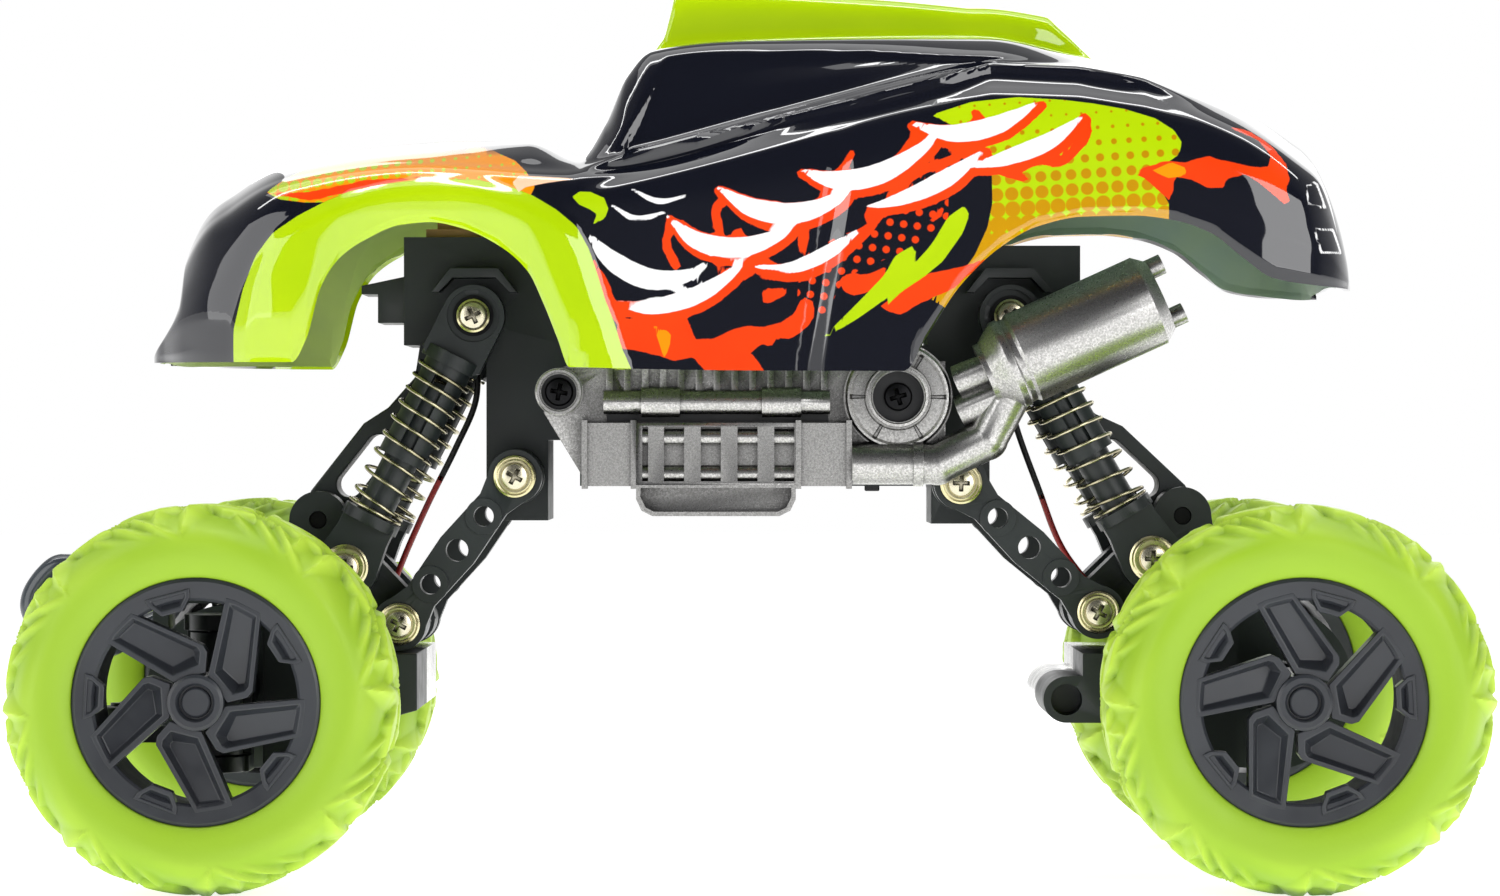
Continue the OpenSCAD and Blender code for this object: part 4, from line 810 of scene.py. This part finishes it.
def tyre_mesh():
    """Points, faces and relief height of a tyre: a lathed carcass with the lugs raised on it."""
    half = curve_through(TYRE_HALF, 62)
    profile = np.concatenate([half, half[-2::-1] * (1, -1)])
    count, m = GROUPS * 64, len(profile)
    a = np.arange(count) * 2 * math.pi / count
    r, z = np.tile(profile[:, 0], (count, 1)), np.tile(profile[:, 1], (count, 1))
    ang = np.repeat(a[:, None], m, 1)
    tangent = np.gradient(profile, axis=0)
    tangent /= np.linalg.norm(tangent, axis=1)[:, None]
    normal = np.stack([-tangent[:, 1], tangent[:, 0]], 1)
    if normal[len(normal) // 2, 0] < 0:
        normal = -normal
    # the pattern is staggered by half a group between the two sides
    across = np.abs(z)
    phase = ang * GROUPS / (2 * math.pi) + np.where(z < 0, 0.5, 0)
    shoulder = np.where(across > 9, r, 33.5 + (9 - across) * 0.5)
    height = np.zeros_like(r)

    def wrapped(t):
        return (t + 0.5) % 1 - 0.5

    def crest(t, before, after):
        """A sharp ridge line: a slope up to t = 0 and another one down."""
        up, down = 1 + t / np.maximum(before, 1e-4), 1 - t / np.maximum(after, 1e-4)
        return np.clip(np.minimum(up, down), 0, 1)

    for at, start in TEETH:
        # the tip points at the hub and the tooth widens outwards, one flank steep
        t = wrapped(phase - at + (shoulder - 30) * 0.012)
        grow = np.clip((shoulder - start) / 4.0, 0, 1)
        height = np.maximum(height, crest(t, 0.15 * grow, 0.085 * grow) * (0.6 + 1.6 * grow) * (grow > 0))
    for k, (at, start) in enumerate(RIDGES):
        # the ridge curves round the shoulder
        t = wrapped(phase - at + (33.6 - shoulder) * 0.075)
        rise = step(shoulder, start, start + 2.6)
        height = np.maximum(height, crest(t, 0.1, 0.035) * rise * (1.5 - 0.2 * k))
    # tread blocks between the shoulders
    t = wrapped(phase * 2 + 0.06 * across)
    block = step(0.27 - np.abs(t), 0, 0.05) * step(10 - across, 0, 1.2) * step(across, 0.6, 1.6)
    height = np.maximum(height, 1.6 * block)
    # a broad swirl lifts each group's leading side
    wave = 0.5 + 0.5 * np.sin(2 * math.pi * (phase + (33 - shoulder) * 0.07))
    swirl = 0.5 * wave * step(shoulder, 26, 31)
    total = height + swirl * (1 - 0.7 * np.clip(height, 0, 1))
    rr = np.minimum(r + total * normal[:, 0], TYRE_R)
    zz = np.clip(z + total * normal[:, 1] * 0.9, -TYRE_W / 2, TYRE_W / 2)
    verts = np.stack([rr * np.cos(ang), rr * np.sin(ang), zz], 2).reshape(-1, 3)

    # the hollow inside, joined to the two bead edges
    hollow = [(21.5, -8), (31, -8), (31, 8), (21.5, 8)]
    ring = np.array([[q * math.cos(t), q * math.sin(t), w] for t in a for q, w in hollow])
    start = len(verts)
    faces = grid_faces(count, m, close_rows=True)
    faces += [tuple(start + v for v in f) for f in grid_faces(count, 4, close_rows=True)]
    for i in range(count):
        j = (i + 1) % count
        faces.append((i * m, start + 4 * i + 3, start + 4 * j + 3, j * m))
        faces.append((i * m + m - 1, j * m + m - 1, start + 4 * j, start + 4 * i))
    return np.concatenate([verts, ring]), faces, np.append(total - 0.2, np.zeros(len(ring)))


def lathe(profile, count=128):
    """A ring turned from a closed profile of (radius, height)."""
    a = np.arange(count) * 2 * math.pi / count
    verts = np.array([[r * math.cos(t), r * math.sin(t), z] for t in a for r, z in profile])
    return verts, grid_faces(count, len(profile), close_rows=True, close_cols=True)


def join_parts(parts):
    verts, faces, start = [], [], 0
    for v, f in parts:
        verts.append(np.asarray(v, float))
        faces += [tuple(i + start for i in face) for face in f]
        start += len(v)
    return np.concatenate(verts), faces


def turned(part, degrees):
    a = math.radians(degrees)
    c, s = math.cos(a), math.sin(a)
    v = np.asarray(part[0], float)
    return np.stack([v[:, 0] * c - v[:, 1] * s, v[:, 0] * s + v[:, 1] * c, v[:, 2]], 1), part[1]


def dish(outline, floor, top, bottom, depths):
    """A block with a raised rim round a sunk floor; depths gives the floor's height at each corner."""
    n = len(outline)
    inner = [(0.5 * (a[0] + b[0]), 0.5 * (a[1] + b[1])) for a, b in zip(outline, floor)]
    verts = ([(*p, bottom) for p in outline] + [(*p, top) for p in outline]
             + [(*p, top) for p in inner] + [(*p, d) for p, d in zip(floor, depths)])
    faces = [tuple(range(n - 1, -1, -1)), tuple(3 * n + k for k in range(n))]
    for k in range(n):
        j = (k + 1) % n
        faces += [(k, j, n + j, n + k), (n + k, n + j, 2 * n + j, 2 * n + k),
                  (2 * n + k, 2 * n + j, 3 * n + j, 3 * n + k)]
    return verts, faces


# The five spokes and the tabs between them, with their sunk floors
PADDLE = [(5.2, -0.6), (19.3, 0.7), (19.4, -0.9), (18.6, -6.1), (4.9, -9.0), (3.6, -8.4), (1.7, -5.3)]
PADDLE_FLOOR = [(7.0, -2.5), (17.6, -1.3), (17.7, -1.6), (17.1, -4.9), (6.2, -7.1), (5.6, -6.9),
                (5.2, -6.2)]
PADDLE_DEPTH = [13.2, 14.1, 14.1, 14.1, 12.6, 12.4, 12.5]
TAB = [(16.2, -2.0), (16.2, 1.8), (18.4, 3.6), (19.8, 4.0), (19.8, -4.2), (18.4, -3.9)]
TAB_FLOOR = [(18.0, -1.8), (18.0, 1.4), (18.5, 2.0), (18.8, 2.2), (18.8, -2.4), (18.5, -2.2)]


def rim_parts():
    barrel = lathe([(18.0, 13.0), (18.0, 14.7), (18.5, 15.2), (21.4, 15.4), (22, 15.1), (22, 14.1),
                    (21, 13.2), (21, -13.2), (22, -14), (22, -15.1), (21.4, -15.4), (19.4, -15.3),
                    (19.4, 12.6)])
    hub = lathe([(0.01, 15.4), (2.3, 15.4), (2.6, 15.2), (2.75, 14.5), (3.0, 14.5), (3.15, 15.7),
                 (3.5, 16.2), (4.4, 16.2), (4.95, 15.9), (5.1, 15.2), (5.1, 12), (5.0, -16), (2.6, -16),
                 (2.6, 12), (0.01, 12)], 96)
    return barrel, hub


def build_wheels():
    tyre_v, tyre_f, height = tyre_mesh()
    ring_v, ring_f = join_parts(rim_parts())
    spokes = []
    for k in range(5):
        spokes.append(turned(dish(PADDLE, PADDLE_FLOOR, 15.3, 10.4, PADDLE_DEPTH), 72 * k))
        spokes.append(turned(dish(TAB, TAB_FLOOR, 15.6, 12.2, [14.4] * 6), 72 * k + 33))
    spoke_v, spoke_f = join_parts(spokes)
    for end, end_name in enumerate(ENDS):
        for side, side_name in SIDES:
            tag = f"{end_name}_{side_name}"
            tyre = add_mesh(f"tyre_skin_{tag}", wheel_place(tyre_v, end, side), tyre_f, RUBBER)
            store(tyre, "height", height)
            stands_for(smooth(tyre, 60), f"tyre_{tag}")
            ring = add_mesh(f"rim_ring_{tag}", wheel_place(ring_v, end, side), ring_f, SLATE)
            stands_for(smooth(ring, 28), f"rim_{tag}")
            block = add_mesh(f"rim_spokes_{tag}", wheel_place(spoke_v, end, side), spoke_f, SLATE)
            stands_for(rounded(block, 0.32, 25, 3, harden=False), f"rim_{tag}")


# ---- springs, leads and tow hook ---------------------------------------------------------------
# Each shock's upper and lower eye as (x, z), and how far the rod goes in
SHOCKS = {"front": ((-51.5, 104.6), (-75.3, 57.8), 3.26), "rear": ((48.5, 104.6), (74.9, 59.4), 4.48)}
COIL_R, WIRE_R, COILS = 5.2, 0.33, 10
SEAT = 10.5


def build_springs():
    for end_name, (top, low, stroke) in SHOCKS.items():
        top, low = np.array(top), np.array(low)
        length = np.linalg.norm(low - top)
        d = (low - top) / length
        start, stop = SEAT + 0.3, length - 11.5
        t = np.linspace(0, 1, 400)
        turn = COILS * 2 * math.pi * t
        # the turns open up towards the lower end, and the last one lies flat on its seat
        u = np.minimum(t / 0.9, 1)
        s = start + (stop - start - 0.8) * u * (0.7 + 0.3 * u) + 0.75 * np.clip((t - 0.9) / 0.1, 0, 1)
        across = COIL_R * np.cos(turn)
        for side, side_name in SIDES:
            path = np.stack([top[0] + d[0] * s - d[1] * across + MID_X,
                             side * SHOCK_Y + COIL_R * np.sin(turn),
                             top[1] + d[1] * s + d[0] * across], 1)
            spring = add_mesh(f"coil_{end_name}_{side_name}", *swept(path, WIRE_R, 10), WIRE)
            spring.data.shade_smooth()
            stands_for(spring, f"spring_{end_name}_{side_name}")
            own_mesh(spring)


LEADS = {
    "front": [(-52, 0, 98), (-52.2, 0, 89), (-56, 0, 80), (-61, 0, 70), (-65.5, 0, 60), (-69, 0, 50.9)],
    "rear": [(49.6, 0, 98), (49.9, 0, 87), (55.2, 0, 71.5), (59.4, 0, 61), (66, 0, 52.2)]}


def build_leads():
    for end_name, points in LEADS.items():
        line = curve_through(np.asarray(points, float) + (MID_X, 0, 0), 64)
        for part, span, bodies in (("upper", line[:34], ("chassis", f"{end_name}_arm")),
                                   ("lower", line[32:], (f"{end_name}_arm", f"{end_name}_axle"))):
            # two sleeved wires lie side by side
            pieces = [swept(span + (0, y, 0), 0.56, 10) for y in (-0.58, 0.58)]
            lead = add_mesh(f"lead_{end_name}_{part}", *join_parts(pieces), CABLE, CABLE_RED)
            half = len(lead.data.polygons) // 2
            lead.data.polygons.foreach_set("material_index", [int(part == "lower")] * half + [0] * half)
            lead.data.shade_smooth()
            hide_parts(f"{end_name}_motor_lead")
            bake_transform(lead)


HOOK = [(-112, 47.4), (-115.5, 45.8), (-120, 43.2), (-125, 41.4), (-129.6, 42.2), (-133.8, 45.4),
        (-136.5, 48.6), (-136.5, 51.8), (-134.6, 55), (-132, 57.4), (-129.4, 57.7), (-128.2, 57.3)]
HOOK_ROOT, HOOK_R = -113.2, 2.15


def build_hook():
    """A round bar with a rounded tip and a fine mould line half way along."""
    line = curve_through([(x, 0, z) for x, z in HOOK], 90)
    t = np.linspace(0, 1, 90)
    radius = HOOK_R * np.sqrt(np.clip(1 - ((t - 0.955) / 0.045).clip(0, 1) ** 2, 0.01, 1))
    radius = radius + 0.14 * bell(t - 0.52, 0.01)
    hook = add_mesh("tow_hook_bar", *swept(line + (MID_X, 0, 0), radius, 32), GLOSS_DARK)
    hook.data.shade_smooth()
    return stands_for(hook, "steering_servo")


def without_hook(obj):
    """The servo alone: the smooth bar takes the place of the moulded hook."""
    with edited(obj) as bm:
        bmesh.ops.bisect_plane(bm, geom=bm.verts[:] + bm.edges[:] + bm.faces[:], clear_inner=True,
                               plane_co=(MM * (MID_X + HOOK_ROOT), 0, 0), plane_no=(1, 0, 0))


# ---- parts that keep the CAD shape ---------------------------------------------------------------

# Each screw: x and z of its axis, the distance of its head's seat from the middle, and its washer
SCREWS = {
    "chassis_screws": [(-43.7, 74.7, 24.6, 3.9), (39.2, 73.5, 24.6, 3.9), (-51.5, 104.6, 23.2, 3.1),
                       (48.5, 104.6, 23.2, 3.1), (-35.1, 90.3, 34, 0), (27.2, 89.4, 35.3, 0)],
    "front_axle_screws": [(-65.2, 47.3, 24.6, 3.9), (-75.3, 57.8, 23.4, 4.3)],
    "rear_axle_screws": [(64.7, 49.5, 24.6, 3.9), (74.9, 59.4, 23.4, 4.3)]}


WASHER_REACH = 4.6  # farther out than any washer


def shanks_only(node):
    """Cuts the plain heads and washers off; build_screws adds shaped ones. The pins are dark."""
    def past_seat(v):
        x, y, z = (c / MM for c in v.co)
        return any(math.hypot(x - MID_X - sx, z - sz) < WASHER_REACH and abs(y) > seat + 0.05
                   for sx, sz, seat, _ in SCREWS[node])

    def cut(obj):
        with edited(obj) as bm:
            bmesh.ops.delete(bm, geom=[v for v in bm.verts if past_seat(v)], context="VERTS")
        store(obj, "dark", np.ones(len(obj.data.vertices)))
    return cut


HEAD_R = 2.6


def screw_head(x, z, seat, side, turn):
    """A domed head with a cross recess, on a polar grid."""
    radii = np.concatenate([np.linspace(0.02, 2.2, 34), np.linspace(2.26, HEAD_R, 7)])
    angles = np.linspace(0, 2 * math.pi, 96, endpoint=False)
    r, a = np.meshgrid(radii, angles)
    u, v = r * np.cos(a + turn), r * np.sin(a + turn)
    arm = np.minimum(0.34 - np.minimum(np.abs(u), np.abs(v)), 1.55 - r)
    h = 1.95 - 0.5 * (r / HEAD_R) ** 2 - 0.55 * step(r, 2.3, HEAD_R) - 1.05 * step(arm, -0.06, 0.1)
    points = np.stack([x + MID_X + r * np.cos(a), side * (seat + h), z + r * np.sin(a)], 2)
    skirt = points[:, -1:].copy()
    skirt[:, :, 1] = side * (seat + 0.3)
    points = np.concatenate([points, skirt], 1)
    return points.reshape(-1, 3), grid_faces(len(angles), len(radii) + 1, close_rows=True)


def washer(x, z, seat, side, r):
    profile = [(1.8, 0.0), (1.8, 0.6), (r - 0.9, 0.62), (r - 0.7, 0.5), (r - 0.35, 0.66), (r, 0.45),
               (r, 0.0)]
    v, f = lathe(profile, 72)
    return np.stack([x + MID_X + v[:, 0], side * (seat + v[:, 2]), z + v[:, 1]], 1), f


def build_screws():
    for node, rows in SCREWS.items():
        heads, rings, dark = [], [], []
        for k, (x, z, seat, r) in enumerate(rows):
            for side, _ in SIDES:
                heads.append(screw_head(x, z, seat, side, 0.5 + 1.1 * k))
                dark.append(np.full(len(heads[-1][0]), 0.0 if r else 1.0))
                if r:
                    rings.append(washer(x, z, seat, side, r))
        obj = add_mesh(node + "_heads", *join_parts(heads), SCREW)
        store(obj, "dark", np.concatenate(dark))
        stands_for(smooth(fix_normals(obj), 45), node)
        obj = add_mesh(node + "_washers", *join_parts(rings), WASHER)
        stands_for(smooth(fix_normals(obj), 30), node)


def build_cad_parts():
    for node in ("chassis_tub", "front_tower", "rear_tower", "battery_door", "tie_rod", "knuckle_left",
                 "knuckle_right", "front_link_mount", "rear_link_mount", "front_axle_case_left",
                 "rear_axle_case_left", "front_upper_arm", "rear_upper_arm"):
        softened(node, PLASTIC, 0.4)
    softened("steering_servo", PLASTIC, 0.4, without_hook)
    for e in ENDS:
        softened(f"{e}_axle_case_right", CHROME, 0.4)
        softened(f"{e}_motor", CAN, 0.3)
        softened(f"{e}_pinion", BRASS, 0.08)
        softened(f"{e}_drive_gear", NYLON, 0.08)
        for _, s in SIDES:
            softened(f"{e}_link_{s}", PLASTIC, 0.4)
            softened(f"shock_cylinder_{e}_{s}", PLASTIC, 0.3)
            softened(f"shock_rod_{e}_{s}", PLASTIC, 0.35)
    for _, s in SIDES:
        softened(f"stub_axle_{s}", STEEL, 0.2)
        softened(f"side_trim_{s}", SILVER, 0.42)
    softened("exhausts", SILVER, 0.3)
    softened("battery_pack", WRAP, 0.5)
    softened("circuit_board", BOARD, 0.1)
    softened("power_switch", SATIN_BLACK, 0.25)
    for node in SCREWS:
        softened(node, SCREW, 0.1, shanks_only(node))


# ---- trim details --------------------------------------------------------------------------------

def slab(lo, hi):
    v = [(x, y, z) for x in (lo[0], hi[0]) for y in (lo[1], hi[1]) for z in (lo[2], hi[2])]
    return v, [(0, 1, 3, 2), (4, 6, 7, 5), (0, 4, 5, 1), (2, 3, 7, 6), (0, 2, 6, 4), (1, 5, 7, 3)]


# The sunk screws of a side trim, as x and z: in the manifold ring, and at the front end
RING_AT, END_AT = (27.2, 89.4), (-35.1, 90.3)


def segmented_ring():
    """A flat ring with six grooves across its face."""
    count, segments = 240, 6
    a = np.arange(count) * 2 * math.pi / count
    groove = np.where(np.abs((a * segments / (2 * math.pi)) % 1 - 0.5) < 0.026, 0.45, 0)
    profile = [(5.9, 35.0), (5.9, 35.95), (6.2, 36.1), (8.4, 35.95), (8.9, 36.25), (9.3, 36.2),
               (9.7, 35.6), (9.9, 35.0)]
    verts = np.array([[r * math.cos(t + 0.52), r * math.sin(t + 0.52), h - (g if 6 < r < 8.8 else 0)]
                      for t, g in zip(a, groove) for r, h in profile])
    return verts, grid_faces(count, len(profile), close_rows=True, close_cols=True)


def build_trim_details():
    """The manifold ring, the sunk screws' collars, and painted shade: matt black cups in their recesses and
    a black sheet in the gap under the rail.
    """
    collar = lathe([(4.75, 35.6), (4.75, 37.9), (5.05, 38.25), (5.5, 38.2), (5.75, 37.6), (6.05, 36.9),
                    (6.05, 35.6)], 96)
    lip = lathe([(3.35, 35.0), (3.35, 35.9), (3.6, 36.25), (4.1, 36.25), (4.4, 35.9), (4.4, 35.0)], 72)
    big_recess_shade = lathe([(2.4, 35.25), (2.5, 35.4), (4.6, 35.4), (4.7, 37.3), (4.74, 37.3), (4.74, 35.2),
                     (2.4, 35.2)], 64)
    small_recess_shade = lathe([(2.2, 34.1), (2.3, 34.2), (3.2, 34.2), (3.27, 35.4), (3.3, 35.4), (3.3, 34.0),
                       (2.2, 34.0)], 64)
    for side, name in SIDES:
        def placed(part, at):
            u, v, w = np.asarray(part[0], float).T
            return np.stack([MID_X + at[0] + u, side * w, at[1] + v], 1), part[1]

        rings = [placed(segmented_ring(), RING_AT), placed(collar, RING_AT), placed(lip, END_AT)]
        rings = add_mesh(f"trim_rings_{name}", *join_parts(rings), SILVER)
        stands_for(smooth(fix_normals(rings), 30), f"side_trim_{name}")
        # matt black cups line the screw recesses: painted shade
        recess_shade = [placed(big_recess_shade, RING_AT), placed(small_recess_shade, END_AT)]
        recess_shade = add_mesh(f"trim_recess_shade_{name}", *join_parts(recess_shade), SATIN_BLACK)
        stands_for(smooth(fix_normals(recess_shade), 40), f"side_trim_{name}")
        # a thin black sheet in the gap under the rail: painted shade
        gap = slab((MID_X - 26.4, side * 32.45, 84.9), (MID_X + 14.4, side * 32.7, 87.0))
        gap = add_mesh(f"trim_shade_sheet_{name}", *gap, SATIN_BLACK)
        stands_for(rounded(fix_normals(gap), 0.05), f"side_trim_{name}")


build_shell()
build_wheels()
build_springs()
build_leads()
build_hook()
build_cad_parts()
build_screws()
build_trim_details()


# ---- stage ---------------------------------------------------------------------------------------

FLOOR_R = 4000
CAMERA_AT = (MID_X * MM, -1.027, 0.080)

# Each light: where it is, what it faces, its width and height, in metres, and its power
LIGHTS = {
    "top_box": ((0.0, 0.05, 0.85), (0, 0, 0.05), 1.3, 0.5, 3.2),
    "strip": ((0.0, -0.1, 0.72), (0, 0, 0.1), 1.5, 0.04, 2.4),
    "front_box": ((-0.76, -0.62, 0.32), (-0.05, 0, 0.1), 0.75, 0.7, 3.6),
    "rear_box": ((0.56, -0.78, 0.3), (0.08, 0, 0.1), 0.56, 0.5, 3.4),
    "back_box": ((0.2, 0.8, 0.5), (0, 0, 0.06), 1.0, 0.5, 3)}


def build_floor():
    n = Nodes("floor_white")
    n.set(Base_Color=n.mix(n.noise(3, 2), (0.8, 0.8, 0.8, 1), (0.84, 0.84, 0.84, 1)))
    n.set(Roughness=n.range(n.noise(8), 0, 1, 0.85, 0.95), Specular_IOR_Level=0)
    n.set(Emission_Color=n.mix(n.noise(3, 2), (0.98, 0.98, 0.98, 1), (1, 1, 1, 1)), Emission_Strength=0.8)
    ring = [(FLOOR_R * math.cos(t), FLOOR_R * math.sin(t), 0)
            for t in np.linspace(0, 2 * math.pi, 96, endpoint=False)]
    add_mesh("floor", ring, [tuple(range(96))], n.mat)


def build_studio():
    """A pale studio: bright behind the truck and down to the horizon, dimmer overhead and in front."""
    world = bpy.data.worlds.new("studio")
    bpy.context.scene.world = world
    world.use_nodes = True
    sky = Tree(world.node_tree, "Generated")
    background = world.node_tree.nodes["Background"].inputs
    behind = sky.range(sky.axis(1), -0.5, 0.5, 0, 1)
    sky.link(sky.mix(behind, (0.11, 0.11, 0.12, 1), (1, 1, 1, 1)), background["Color"])
    sky.link(sky.range(sky.axis(2), 0.2, 0.5, 1.0, 0.4), background["Strength"])
    for name, (at, aim, width, height, power) in LIGHTS.items():
        light = bpy.data.lights.new(name, "AREA")
        light.shape = "RECTANGLE"
        light.size, light.size_y = width, height
        light.energy = power
        obj = add_object(name, light)
        obj.location = at
        obj.rotation_euler = (Vector(aim) - Vector(at)).to_track_quat("-Z", "Y").to_euler()


def build_camera():
    """Level with the truck and square to its left side."""
    cam = bpy.data.cameras.new("camera")
    cam.lens = 129.5
    cam.sensor_width = 36
    cam.sensor_fit = "HORIZONTAL"
    cam.clip_start = 0.05
    obj = add_object("camera", cam)
    obj.location = CAMERA_AT
    obj.rotation_euler = (math.pi / 2, 0, 0)
    bpy.context.scene.camera = obj
    bpy.context.scene.view_settings.view_transform = "Standard"


build_floor()
build_studio()
build_camera()
